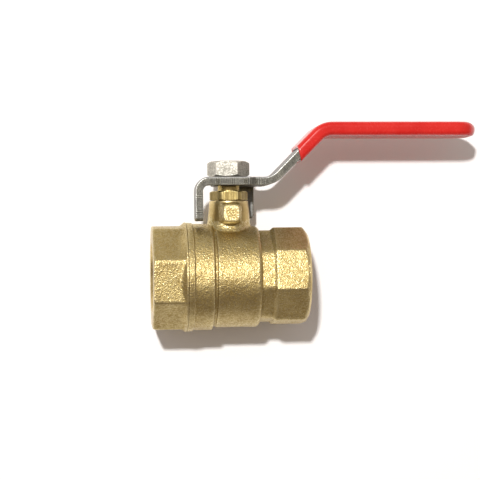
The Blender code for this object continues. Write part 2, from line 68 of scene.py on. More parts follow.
def smoothMin(a, b, soft):
    # The smaller of the two, rounded over where they cross
    return (a + b - np.sqrt((a - b) ** 2 + soft ** 2)) / 2


def ramp(value, start, end):
    # 0 before the start, 1 after the end, and a soft S between
    part = np.clip((value - start) / (end - start), 0, 1)
    return part * part * (3 - 2 * part)


def unit(vector):
    # The vector over its length
    return vector / np.linalg.norm(vector)


def roundedPath(corners, spacing, turn=12, closed=False):
    # A line through (a, b, radius) corners: an arc in each corner, and straight runs cut to the spacing
    count = len(corners)
    places = [np.array(corner[:2], float) for corner in corners]
    arcs = []
    for index, corner in enumerate(corners):
        here = places[index]
        radius = corner[2] if len(corner) > 2 else 0
        if radius == 0 or (not closed and index in (0, count - 1)):
            arcs.append(here[None])
            continue
        before = unit(places[index - 1] - here)
        after = unit(places[(index + 1) % count] - here)
        half = math.acos(np.clip(before @ after, -1, 1)) / 2
        centre = here + unit(before + after) * radius / math.sin(half)
        start = here + before * radius / math.tan(half) - centre
        end = here + after * radius / math.tan(half) - centre
        first = math.atan2(start[1], start[0])
        sweep = (math.atan2(end[1], end[0]) - first + math.pi) % math.tau - math.pi
        steps = max(2, math.ceil(abs(math.degrees(sweep)) / turn))
        angles = first + sweep * np.linspace(0, 1, steps + 1)
        arcs.append(centre + radius * np.stack([np.cos(angles), np.sin(angles)], 1))
    line = []
    for index, arc in enumerate(arcs):
        line.append(arc)
        if index + 1 < count or closed:
            gap = arcs[(index + 1) % count][0] - arc[-1]
            steps = math.ceil(np.linalg.norm(gap) / spacing)
            if steps > 1:
                line.append(arc[-1] + gap * (np.arange(1, steps) / steps)[:, None])
    line = np.concatenate(line)
    apart = np.linalg.norm(line - np.roll(line, 1, axis=0), axis=1) > hair
    apart[0] = apart[0] or not closed
    return line[apart]


def around(columns):
    # Even angles, one full turn in this many columns
    return np.arange(columns) * math.tau / columns


def polygon(angles, flats, sides, turn, crisp):
    # Radius of a polygon of this width over its flats: a power mean over its flats' directions
    # rounds the corners, and the higher the power the crisper they are
    total = 0
    for side in range(sides // 2):
        total = total + np.abs(np.cos(angles - math.radians(turn) - side * math.tau / sides)) ** crisp
    return flats / 2 / total ** (1 / crisp)


def lumps(points, size, seed):
    # Smooth random heights: a number for each corner of a lattice, blended across its cells
    cell = points / size
    base = np.floor(cell).astype(np.int64)
    part = cell - base
    part = part * part * (3 - 2 * part)
    total = 0
    for corner in range(8):
        offset = np.array([corner & 1, corner >> 1 & 1, corner >> 2 & 1])
        key = ((base + offset) * np.array([73856093, 19349663, 83492791])).sum(-1) + seed * 7919
        key = (key ^ (key >> 13)) * 1274126177
        value = ((key ^ (key >> 16)) & 65535) / 32767.5 - 1
        total = total + value * np.prod(np.where(offset, part, 1 - part), axis=-1)
    return total


def ringQuads(rows, columns, loop=False):
    # The quads between neighbouring rings, as numbers of points counted ring after ring
    row, column = np.meshgrid(
        np.arange(rows if loop else rows - 1), np.arange(columns), indexing="ij"
    )
    nextRow, nextColumn = (row + 1) % rows, (column + 1) % columns
    corners = ((row, column), (row, nextColumn), (nextRow, nextColumn), (nextRow, column))
    return np.stack([a * columns + b for a, b in corners], -1).reshape(-1, 4)


def makeSolid(name, rings, loop=False, finish=None):
    # Quads between neighbouring rings of points. A loop joins the last ring to the first,
    # and otherwise each end closes to a pole. The finish gives each row's material.
    rows, columns = rings.shape[:2]
    quads = ringQuads(rows, columns, loop)
    points = rings.reshape(-1, 3)
    faces = quads.tolist()
    if not loop:
        here = np.arange(columns)
        there = (here + 1) % columns
        end = (rows - 1) * columns
        points = np.concatenate([points, rings[:1].mean(1), rings[-1:].mean(1)])
        faces += np.stack([there, here, np.full(columns, rows * columns)], 1).tolist()
        faces += np.stack([end + here, end + there, np.full(columns, rows * columns + 1)], 1).tolist()
    mesh = bpy.data.meshes.new(name)
    mesh.from_pydata((points * mm).tolist(), [], faces)
    if finish is not None:
        index = np.zeros(len(faces), np.int32)
        index[: len(quads)] = np.repeat(finish[: len(quads) // columns], columns)
        mesh.polygons.foreach_set("material_index", index)
    piece = bpy.data.objects.new(name, mesh)
    bpy.context.scene.collection.objects.link(piece)
    faceOut(piece)
    return piece


def faceOut(piece):
    # Turns the faces round if the volume that they enclose comes out negative
    mesh = piece.data
    mesh.calc_loop_triangles()
    points = np.empty(len(mesh.vertices) * 3)
    mesh.vertices.foreach_get("co", points)
    corners = np.empty(len(mesh.loop_triangles) * 3, np.int32)
    mesh.loop_triangles.foreach_get("vertices", corners)
    corners = points.reshape(-1, 3)[corners.reshape(-1, 3)]
    if np.einsum("ij,ij->", corners[:, 0], np.cross(corners[:, 1], corners[:, 2])) < 0:
        mesh.flip_normals()


def turnedRings(profile, angles, axis="z"):
    # A (height, radius) profile turned about an axis; a radius may change round the axis
    height = profile[..., 0] if profile.ndim == 3 else profile[:, :1] + 0 * angles
    radius = profile[..., 1] if profile.ndim == 3 else profile[:, 1:2] + 0 * angles
    if axis == "x":
        return np.stack([height, -radius * np.cos(angles), radius * np.sin(angles)], -1)
    return np.stack([radius * np.cos(angles), radius * np.sin(angles), height], -1)


def combine(piece, operation, tools):
    # Applies a Boolean with each tool in turn and takes the tools away
    for tool in tools:
        step = piece.modifiers.new(tool.name, "BOOLEAN")
        step.operation = operation
        step.solver = "EXACT"
        step.object = tool
    graph = bpy.context.evaluated_depsgraph_get()
    mesh = bpy.data.meshes.new_from_object(piece.evaluated_get(graph))
    piece.modifiers.clear()
    piece.data = mesh
    for tool in tools:
        bpy.data.objects.remove(tool)


def markEdges(piece, width, passes=2):
    # Along each mesh edge, how fast the normal turns says how sharply the surface bends there.
    # A vertex keeps its sharpest bend outwards ("edge") and inwards ("crease"), and both are blurred.
    mesh = piece.data
    count = len(mesh.vertices)
    points = np.empty(count * 3)
    mesh.vertices.foreach_get("co", points)
    normals = np.empty(count * 3)
    mesh.vertex_normals.foreach_get("vector", normals)
    ends = np.empty(len(mesh.edges) * 2, np.int32)
    mesh.edges.foreach_get("vertices", ends)
    points, normals, ends = points.reshape(-1, 3), normals.reshape(-1, 3), ends.reshape(-1, 2)
    across = (points[ends[:, 1]] - points[ends[:, 0]]) / mm
    turned = normals[ends[:, 1]] - normals[ends[:, 0]]
    bend = (turned * across).sum(1) / np.maximum((across ** 2).sum(1), 0.01)
    neighbours = np.maximum(np.bincount(ends.ravel(), minlength=count), 1)
    for name, sign in (("edge", 1), ("crease", -1)):
        value = np.zeros(count)
        for side in (0, 1):
            np.maximum.at(value, ends[:, side], sign * bend)
        value = np.clip(value * width, 0, 1)
        for _ in range(passes):
            total = np.bincount(ends[:, 0], value[ends[:, 1]], count)
            total += np.bincount(ends[:, 1], value[ends[:, 0]], count)
            value = np.maximum(value * 0.6, 0) + 0.4 * total / neighbours
        mark = mesh.attributes.new(name, "FLOAT", "POINT")
        mark.data.foreach_set("value", np.clip(value, 0, 1).astype(np.float32))


def finishPiece(piece, body, replaced, materials, sharp=38, wearAndShade=0.5):
    # Smooth shading with sharp corners, marks for rubbed edges and for painted shade in creases,
    # material, and its place on the frame
    mesh = piece.data
    zones = np.empty(len(mesh.polygons), np.int32)
    mesh.polygons.foreach_get("material_index", zones)
    mesh.materials.clear()
    for material in materials:
        mesh.materials.append(material)
    mesh.polygons.foreach_set("material_index", np.minimum(zones, len(materials) - 1))
    mesh.polygons.foreach_set("use_smooth", np.ones(len(mesh.polygons), bool))
    mesh.set_sharp_from_angle(angle=math.radians(sharp))
    markEdges(piece, wearAndShade)
    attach(piece, body)
    if replaced:
        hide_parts(*replaced)
    print(piece.name, "made:", len(mesh.polygons), "faces, by zone", np.bincount(zones).tolist())


# Node helpers


def addNode(tree, kind, settings=None, **values):
    # Adds a node, sets its settings, and fills its inputs: a link for a socket, a value otherwise
    node = tree.nodes.new(kind)
    for name, value in (settings or {}).items():
        setattr(node, name, value)
    for name, value in values.items():
        place = int(name[1:]) if name[1:].isdigit() else name.replace("_", " ")
        socket = node.inputs[place]
        if isinstance(value, bpy.types.NodeSocket):
            tree.links.new(value, socket)
        else:
            socket.default_value = value
    return node


def mathNode(tree, operation, a, b=0.5, clamp=False):
    return addNode(
        tree, "ShaderNodeMath", {"operation": operation, "use_clamp": clamp}, i0=a, i1=b
    ).outputs[0]


def mapRange(tree, value, low, high, toLow=0.0, toHigh=1.0):
    # Stretches low..high to toLow..toHigh, held at both ends
    return addNode(
        tree, "ShaderNodeMapRange", {"clamp": True}, i0=value, i1=low, i2=high, i3=toLow, i4=toHigh
    ).outputs[0]


def mixColour(tree, factor, a, b):
    # From colour a to colour b by the factor
    return addNode(
        tree, "ShaderNodeMix", {"data_type": "RGBA"}, i0=factor, i6=a, i7=b
    ).outputs[2]


def noise(tree, where, scale, detail=2.0, rough=0.5):
    # Noise of about this many cells in a metre, centred on a half
    return addNode(
        tree, "ShaderNodeTexNoise", None, Vector=where, Scale=scale, Detail=detail, Roughness=rough
    ).outputs["Fac"]


def newGroup(name, inputs, outputs):
    # A shader node group with named float inputs and outputs
    group = bpy.data.node_groups.new(name, "ShaderNodeTree")
    for label, value in inputs.items():
        socket = group.interface.new_socket(label, in_out="INPUT", socket_type="NodeSocketFloat")
        socket.default_value = value
    for label in outputs:
        group.interface.new_socket(label, in_out="OUTPUT", socket_type="NodeSocketFloat")
    return group, group.nodes.new("NodeGroupInput").outputs, group.nodes.new("NodeGroupOutput").inputs


def placeGroup(tree, group, **values):
    return addNode(tree, "ShaderNodeGroup", {"node_tree": group}, **values).outputs


def objectPoint(tree):
    return addNode(tree, "ShaderNodeTexCoord").outputs["Object"]


# Effects that several materials share


def makeForgedSkin():
    # The fine dents of sand-blasted forging: two sizes of noise with round pits pressed in. Glint marks
    # the highest grain, where the metals paint glints into their colour and make it glossier
    tree, _, made = newGroup("forgedSkin", {}, ["Height", "Glint", "Blotch"])
    where = objectPoint(tree)
    coarse = noise(tree, where, 1150.0, 2.0, 0.6)
    fine = noise(tree, where, 2900.0, 2.0, 0.6)
    pits = addNode(
        tree, "ShaderNodeTexVoronoi", {"feature": "SMOOTH_F1"}, Vector=where, Scale=2500.0
    ).outputs["Distance"]
    grain = mathNode(tree, "MULTIPLY", fine, 0.45)
    grain = mathNode(tree, "ADD", grain, mathNode(tree, "MULTIPLY", coarse, 0.9))
    height = mathNode(tree, "ADD", grain, mathNode(tree, "MULTIPLY", pits, 0.55))
    tree.links.new(height, made["Height"])
    tree.links.new(mapRange(tree, height, 0.84, 1.02), made["Glint"])
    blotch = noise(tree, where, 95.0, 3.0, 0.55)
    tree.links.new(mapRange(tree, blotch, 0.32, 0.68), made["Blotch"])
    return tree


def makeWearAndCreaseShade():
    # Bright rubbed edges broken up by noise, and dark creases, which are painted shade
    tree, given, made = newGroup("wearAndCreaseShade", {"Rub": 1.0, "Dirt": 1.0}, ["Edge", "Crease"])
    breakUp = mapRange(tree, noise(tree, objectPoint(tree), 420.0, 3.0), 0.3, 0.7, 0.45, 1.2)
    for label, name, amount in (("Edge", "edge", "Rub"), ("Crease", "crease", "Dirt")):
        mark = addNode(tree, "ShaderNodeAttribute", {"attribute_name": name}).outputs["Fac"]
        mark = mathNode(tree, "MULTIPLY", mark, given[amount])
        if label == "Edge":
            mark = mathNode(tree, "MULTIPLY", mark, breakUp)
        tree.links.new(mathNode(tree, "MULTIPLY", mark, 1.0, True), made[label])
    return tree


def makeToolMarksAndReflectionStreaks():
    # The fine lines that a cutting tool leaves: noise squeezed along the axis that the tool moves.
    # Squeezed across the upright instead, the streaks are painted reflections running up a turned post.
    tree, given, made = newGroup(
        "toolMarksAndReflectionStreaks", {"X": 1.0, "Y": 1.0, "Z": 1.0, "Scale": 300.0}, ["Height", "Streak"]
    )
    squeeze = addNode(
        tree, "ShaderNodeCombineXYZ", None, X=given["X"], Y=given["Y"], Z=given["Z"]
    ).outputs[0]
    where = addNode(
        tree, "ShaderNodeVectorMath", {"operation": "MULTIPLY"}, i0=objectPoint(tree), i1=squeeze
    ).outputs[0]
    fine = addNode(
        tree, "ShaderNodeTexNoise", None, Vector=where, Scale=given["Scale"], Detail=3.0
    ).outputs["Fac"]
    coarser = mathNode(tree, "MULTIPLY", given["Scale"], 0.23)
    broad = addNode(
        tree, "ShaderNodeTexNoise", None, Vector=where, Scale=coarser, Detail=2.0
    ).outputs["Fac"]
    tree.links.new(fine, made["Height"])
    tree.links.new(mapRange(tree, broad, 0.35, 0.65), made["Streak"])
    return tree


forgedSkin = makeForgedSkin()
wearAndCreaseShade = makeWearAndCreaseShade()
toolMarksAndReflectionStreaks = makeToolMarksAndReflectionStreaks()


def newMaterial(name, metallic, roughness, **fixed):
    # A Principled material; fixed holds plain values for its other sockets
    material = bpy.data.materials.new(name)
    material.use_nodes = True
    tree = material.node_tree
    shader = tree.nodes["Principled BSDF"]
    shader.inputs["Metallic"].default_value = metallic
    shader.inputs["Roughness"].default_value = roughness
    for label, value in fixed.items():
        shader.inputs[label.replace("_", " ")].default_value = value
    return material, tree, shader


def addBump(tree, shader, height, strength, distance):
    # The distance is the height in metres of a step from 0 to 1
    bump = addNode(
        tree, "ShaderNodeBump", None, Strength=strength, Distance=distance, Height=height
    )
    tree.links.new(bump.outputs[0], shader.inputs["Normal"])


def metalMaterial(name, look):
    # Colour from dark to light by blotches, painted glints (specks of the light colour) and streaks,
    # then painted shade in the creases, then rubbed edges
    material, tree, shader = newMaterial(name, look.get("metal", 1.0), look["rough"])
    skin = placeGroup(tree, forgedSkin)
    wearAndShade = placeGroup(tree, wearAndCreaseShade, Rub=look["rub"], Dirt=look["dirt"])
    x, y, z, scale = look["marks"]
    marks = placeGroup(tree, toolMarksAndReflectionStreaks, X=x, Y=y, Z=z, Scale=scale)
    colour = mixColour(tree, skin["Blotch"], (*look["dark"], 1), (*look["mid"], 1))
    # Painted glints: bright specks of the light colour where the grain stands highest
    glintPaint = mathNode(tree, "MULTIPLY", skin["Glint"], look["glintPaint"])
    colour = mixColour(tree, glintPaint, colour, (*look["light"], 1))
    streak = mathNode(tree, "MULTIPLY", marks["Streak"], look["streak"])
    colour = mixColour(tree, streak, colour, (*look["dark"], 1))
    # Painted shade: creases darkened towards the crease colour
    colour = mixColour(tree, wearAndShade["Crease"], colour, (*look["crease"], 1))
    colour = mixColour(tree, wearAndShade["Edge"], colour, (*look["light"], 1))
    tree.links.new(colour, shader.inputs["Base Color"])
    matt, gloss = look["rough"] + 0.09, look["rough"] - look.get("glossy", 0.06)
    rough = mapRange(tree, skin["Glint"], 0.0, 1.0, matt, gloss)
    rough = mathNode(tree, "SUBTRACT", rough, mathNode(tree, "MULTIPLY", wearAndShade["Edge"], 0.12))
    tree.links.new(rough, shader.inputs["Roughness"])
    height = mathNode(tree, "MULTIPLY", skin["Height"], look["dents"])
    height = mathNode(tree, "ADD", height, mathNode(tree, "MULTIPLY", marks["Height"], look["lines"]))
    addBump(tree, shader, height, 1.0, 0.001)
    return material


# Dents and lines are bump heights in millimetres. Marks squeeze X, Y and Z and give the scale.
# Glossy is how much smoother the glints are, and the glint paint how much of the light colour they
# take, as painted glints.
# The crease colour, by the crease shade amount, is painted shade in the creases; rub lightens the
# rubbed edges.
forgedLook = {
    "dark": (0.36, 0.255, 0.085), "mid": (0.50, 0.385, 0.155), "light": (0.95, 0.86, 0.54),
    "crease": (0.24, 0.16, 0.05), "rough": 0.45, "glossy": 0.15, "rub": 0.4, "dirt": 0.3,
    "glintPaint": 0.28, "streak": 0.12, "marks": (5, 0.4, 0.4, 300), "dents": 0.2, "lines": 0.004,
}
# Painted light: a lighter copy of the forged brass with more glints, standing in for the light that the
# neck's flared foot and the lugs catch
flareLookPaintedLight = dict(
    forgedLook, dark=(0.40, 0.29, 0.10), mid=(0.58, 0.465, 0.195), light=(1.0, 0.92, 0.60),
    glintPaint=0.5,
)
machinedLook = {
    "dark": (0.42, 0.29, 0.10), "mid": (0.66, 0.50, 0.20), "light": (1.0, 0.88, 0.52),
    "crease": (0.16, 0.08, 0.025), "rough": 0.30, "rub": 0.6, "dirt": 0.7, "glintPaint": 0.06,
    "streak": 0.35, "marks": (6, 0.3, 0.3, 500), "dents": 0.01, "lines": 0.02,
}
# Painted shade: a darker, redder copy of the machined brass for the sockets' threads and bores, shade
# inside them with a reddish painted reflection
socketLookPaintedShade = dict(
    machinedLook, dark=(0.13, 0.055, 0.02), mid=(0.26, 0.12, 0.045), rough=0.24
)
# Its marks run the streaks up the neck post: painted reflections of the turned surface
neckLook = dict(
    machinedLook, dark=(0.40, 0.29, 0.11), mid=(0.60, 0.46, 0.19), marks=(3, 3, 0.3, 300),
    rough=0.38, streak=0.3,
)
# Its marks also run upright: painted reflection streaks on the gland nut
glandLook = dict(
    machinedLook, dark=(0.20, 0.145, 0.05), mid=(0.46, 0.36, 0.145), marks=(7, 7, 0.25, 330),
    streak=0.7, lines=0.12, rough=0.42, light=(0.90, 0.80, 0.42),
)
# Painted light: a lighter mid colour than the machined brass lifts the stem, which sits in the lever
# plate's shadow
stemLookPaintedLight = dict(
    machinedLook, dark=(0.40, 0.29, 0.10), mid=(0.74, 0.58, 0.22), rough=0.46,
    marks=(0.3, 0.3, 5, 500),
)
chromeLook = {
    "dark": (0.74, 0.75, 0.77), "mid": (0.84, 0.85, 0.87), "light": (0.95, 0.95, 0.96),
    "crease": (0.35, 0.35, 0.36), "rough": 0.12, "rub": 0.2, "dirt": 0.5, "glintPaint": 0.05,
    "streak": 0.1, "marks": (5, 0.5, 0.5, 400), "dents": 0.002, "lines": 0.002,
}
plateLook = {
    "dark": (0.15, 0.15, 0.14), "mid": (0.26, 0.255, 0.24), "light": (0.55, 0.55, 0.53),
    "crease": (0.08, 0.08, 0.08), "rough": 0.44, "rub": 0.8, "dirt": 0.8, "glintPaint": 0.12,
    "streak": 0.3, "marks": (1, 6, 1, 260), "dents": 0.03, "lines": 0.02,
}
shearedLook = dict(
    plateLook, dark=(0.060, 0.055, 0.040), mid=(0.15, 0.14, 0.105), light=(0.36, 0.35, 0.29),
    metal=0.65, marks=(5, 0.5, 0.5, 420), streak=0.8, glintPaint=0.5, dents=0.10, lines=0.05, rough=0.5,
    rub=0.35,
)
zincLook = {
    "dark": (0.27, 0.26, 0.215), "mid": (0.44, 0.42, 0.36), "light": (0.80, 0.78, 0.70),
    "metal": 0.62, "crease": (0.12, 0.11, 0.09), "rough": 0.55, "rub": 0.5, "dirt": 0.9, "glintPaint": 0.5,
    "streak": 0.3, "marks": (0.6, 0.6, 4, 420), "dents": 0.10, "lines": 0.01,
}

forgedBrass = metalMaterial("forgedBrass", forgedLook)
machinedBrass = metalMaterial("machinedBrass", machinedLook)
socketBrassPaintedShade = metalMaterial("socketBrassPaintedShade", socketLookPaintedShade)
neckBrass = metalMaterial("neckBrass", neckLook)
flareBrassPaintedLight = metalMaterial("flareBrassPaintedLight", flareLookPaintedLight)
glandBrass = metalMaterial("glandBrass", glandLook)
stemBrassPaintedLight = metalMaterial("stemBrassPaintedLight", stemLookPaintedLight)
ballChrome = metalMaterial("ballChrome", chromeLook)
plateSteel = metalMaterial("plateSteel", plateLook)
shearedSteel = metalMaterial("shearedSteel", shearedLook)
nutZinc = metalMaterial("nutZinc", zincLook)


def makeVinyl():
    # Dip-coated vinyl: softly glossy, faintly wavy, a little paler where it is thin over the edges
    material, tree, shader = newMaterial(
        "redVinyl", 0.0, 0.3, Coat_Roughness=0.08, Specular_IOR_Level=0.3
    )
    where = objectPoint(tree)
    cloud = mapRange(tree, noise(tree, where, 60.0, 2.0), 0.35, 0.65)
    colour = mixColour(tree, cloud, (0.56, 0.010, 0.007, 1), (0.64, 0.016, 0.011, 1))
    wearAndShade = placeGroup(tree, wearAndCreaseShade, Rub=0.45, Dirt=0.8)
    colour = mixColour(tree, wearAndShade["Edge"], colour, (0.74, 0.06, 0.05, 1))
    # Painted shade: creases darkened towards a deep red
    colour = mixColour(tree, wearAndShade["Crease"], colour, (0.22, 0.004, 0.004, 1))
    tree.links.new(colour, shader.inputs["Base Color"])
    scuff = mapRange(tree, noise(tree, where, 900.0, 3.0, 0.6), 0.5, 0.8, 0.22, 0.42)
    tree.links.new(scuff, shader.inputs["Roughness"])
    coat = mapRange(tree, noise(tree, where, 240.0, 2.0), 0.3, 0.7, 0.2, 0.45)
    tree.links.new(coat, shader.inputs["Coat Weight"])
    dip = noise(tree, where, 130.0, 1.0)
    fine = mathNode(tree, "MULTIPLY", noise(tree, where, 1300.0, 2.0), 0.05)
    peel = mathNode(tree, "ADD", dip, fine)
    addBump(tree, shader, peel, 1.0, 0.0003)
    return material


def makePlastic():
    # White seat plastic: faint turning lines and a slightly waxy surface
    material, tree, shader = newMaterial("seatPlastic", 0.0, 0.35)
    where = objectPoint(tree)
    cloud = mapRange(tree, noise(tree, where, 300.0, 3.0), 0.3, 0.7)
    colour = mixColour(tree, cloud, (0.80, 0.79, 0.76, 1), (0.88, 0.88, 0.86, 1))
    tree.links.new(colour, shader.inputs["Base Color"])
    marks = placeGroup(tree, toolMarksAndReflectionStreaks, X=5.0, Y=0.5, Z=0.5, Scale=500.0)
    tree.links.new(mapRange(tree, marks["Streak"], 0.0, 1.0, 0.3, 0.42), shader.inputs["Roughness"])
    addBump(tree, shader, marks["Height"], 1.0, 0.00002)
    return material


redVinyl = makeVinyl()
seatPlastic = makePlastic()
print("materials made")

# Housing: the forged body and its end cap

fineAngles = around(256)
pipeThread = {"pitch": 2.309, "depth": 1.25, "flank": 0.62}
forging = {"lump": 0.035, "lumpSize": 1.1, "wave": 0.05, "waveSize": 5.0}


def threadDepth(x, angles, start, end, thread):
    # A helix: the tooth rises and falls once in each pitch along the pipe, shifted by a pitch round it
    turns = x / thread["pitch"] + angles / math.tau
    tooth = np.abs(2 * (turns - np.floor(turns)) - 1)
    tooth = np.clip((tooth - (1 - thread["flank"]) / 2) / thread["flank"], 0, 1)
    return thread["depth"] * tooth * ramp(x, start, start + 2.0) * (1 - ramp(x, end - 0.8, end))


def housingRings(rows, angles, sides):
    # Each row holds x, radius, the most radius, the octagon's flats, an inset and the forging's share.
    # A row without flats is a circle of its radius. With flats, its radius is the larger of its own
    # and the octagon's, held under the most. The lumps of the forging are then added.
    x, radius, most, flats, inset, rough = (rows[:, index : index + 1] for index in range(6))
    octagon = polygon(angles, 2.0, 8, sides["tilt"], 130) * flats / 2
    shaped = smoothMin(smoothMax(radius, octagon, 0.55), most, 0.35)
    whole = np.where(flats > 0, shaped, radius) - inset
    rings = turnedRings(np.stack([x + 0 * angles, whole], -1), angles, "x")
    lump = forging["lump"] * lumps(rings, forging["lumpSize"], 3)
    lump = lump + forging["wave"] * lumps(rings, forging["waveSize"], 8)
    whole = whole + rough * lump
    return turnedRings(np.stack([x + 0 * angles, whole], -1), angles, "x")


def plainRows(path, rough=0):
    # Rows of a turned surface, from its (x, radius) path
    rows = np.zeros((len(path), 6))
    rows[:, :2] = path
    rows[:, 2] = 1000
    rows[:, 5] = rough
    return rows


def plainRings(path):
    # A machined (x, radius) path, turned about the pipe
    return turnedRings(path, fineAngles, "x")


def socketThread(face, side):
    # Rings of a socket's threaded wall, from its mouth inwards: its radius plus the helix's depth.
    # The side is 1 for the end towards +X and -1 for the other, which is the same thread turned round.
    g = socketSizes
    mouth = side * face - g["mouthChamfer"]
    x = mouth - np.arange(g["step"], mouth - g["bottom"], g["step"])[:, None]
    cut = threadDepth(x, side * fineAngles, g["bottom"] - 0.4, mouth + 0.5, pipeThread)
    profile = np.stack([side * x + 0 * fineAngles, g["radius"] + cut], -1)
    return turnedRings(profile, fineAngles, "x")


socketSizes = {
    "radius": 15.2, "bottom": 19.3, "mouthChamfer": 1.5, "bore": 12.5, "step": 0.21,
    "pocket": 16.8, "pocketBottom": 14.77, "seatFront": 10.97,
}
bodySizes = {
    "rim": 25.0, "rimWidth": 2.6, "band": 24.4, "barrel": 23.2, "grooveStart": -8.1,
    "grooveEnd": -7.1, "grooveFloor": 22.7, "barrelEnd": 13.2, "barrelRound": 2.0,
    "waistFlats": 41.0, "waistMost": 21.7, "waistEnd": 18.2, "flats": 42.9, "flatsStart": 20.2,
    "tilt": 9, "core": 19.8, "chamfer": 2.7, "slope": 1.33, "chamber": 19.5, "capBore": 21.1,
}
neckSizes = {
    "radius": 9.3, "flareSide": 0.9, "flareFront": 2.6, "flareHeight": 4.2, "buried": 1.0,
    "straightFrom": 28.5, "glandBore": 7.3, "packingFloor": 25.4, "stemBore": 5.3,
    "washerSeat": 23.2, "collarBore": 6.9, "collarRoomFrom": 9,
}
lugSizes = {
    "foot": 4.7, "tip": 4.0, "height": 28.8, "start": 5.0, "reach": 15.75, "edge": 0.9, "fillet": 0.5,
}


def bodyOuterRadius(x):
    # The band's radius left of the groove and the barrel's right of it
    s = bodySizes
    middle = (s["grooveStart"] + s["grooveEnd"]) / 2
    return s["barrel"] + (s["band"] - s["barrel"]) * (1 - ramp(x, middle - 1, middle + 1))


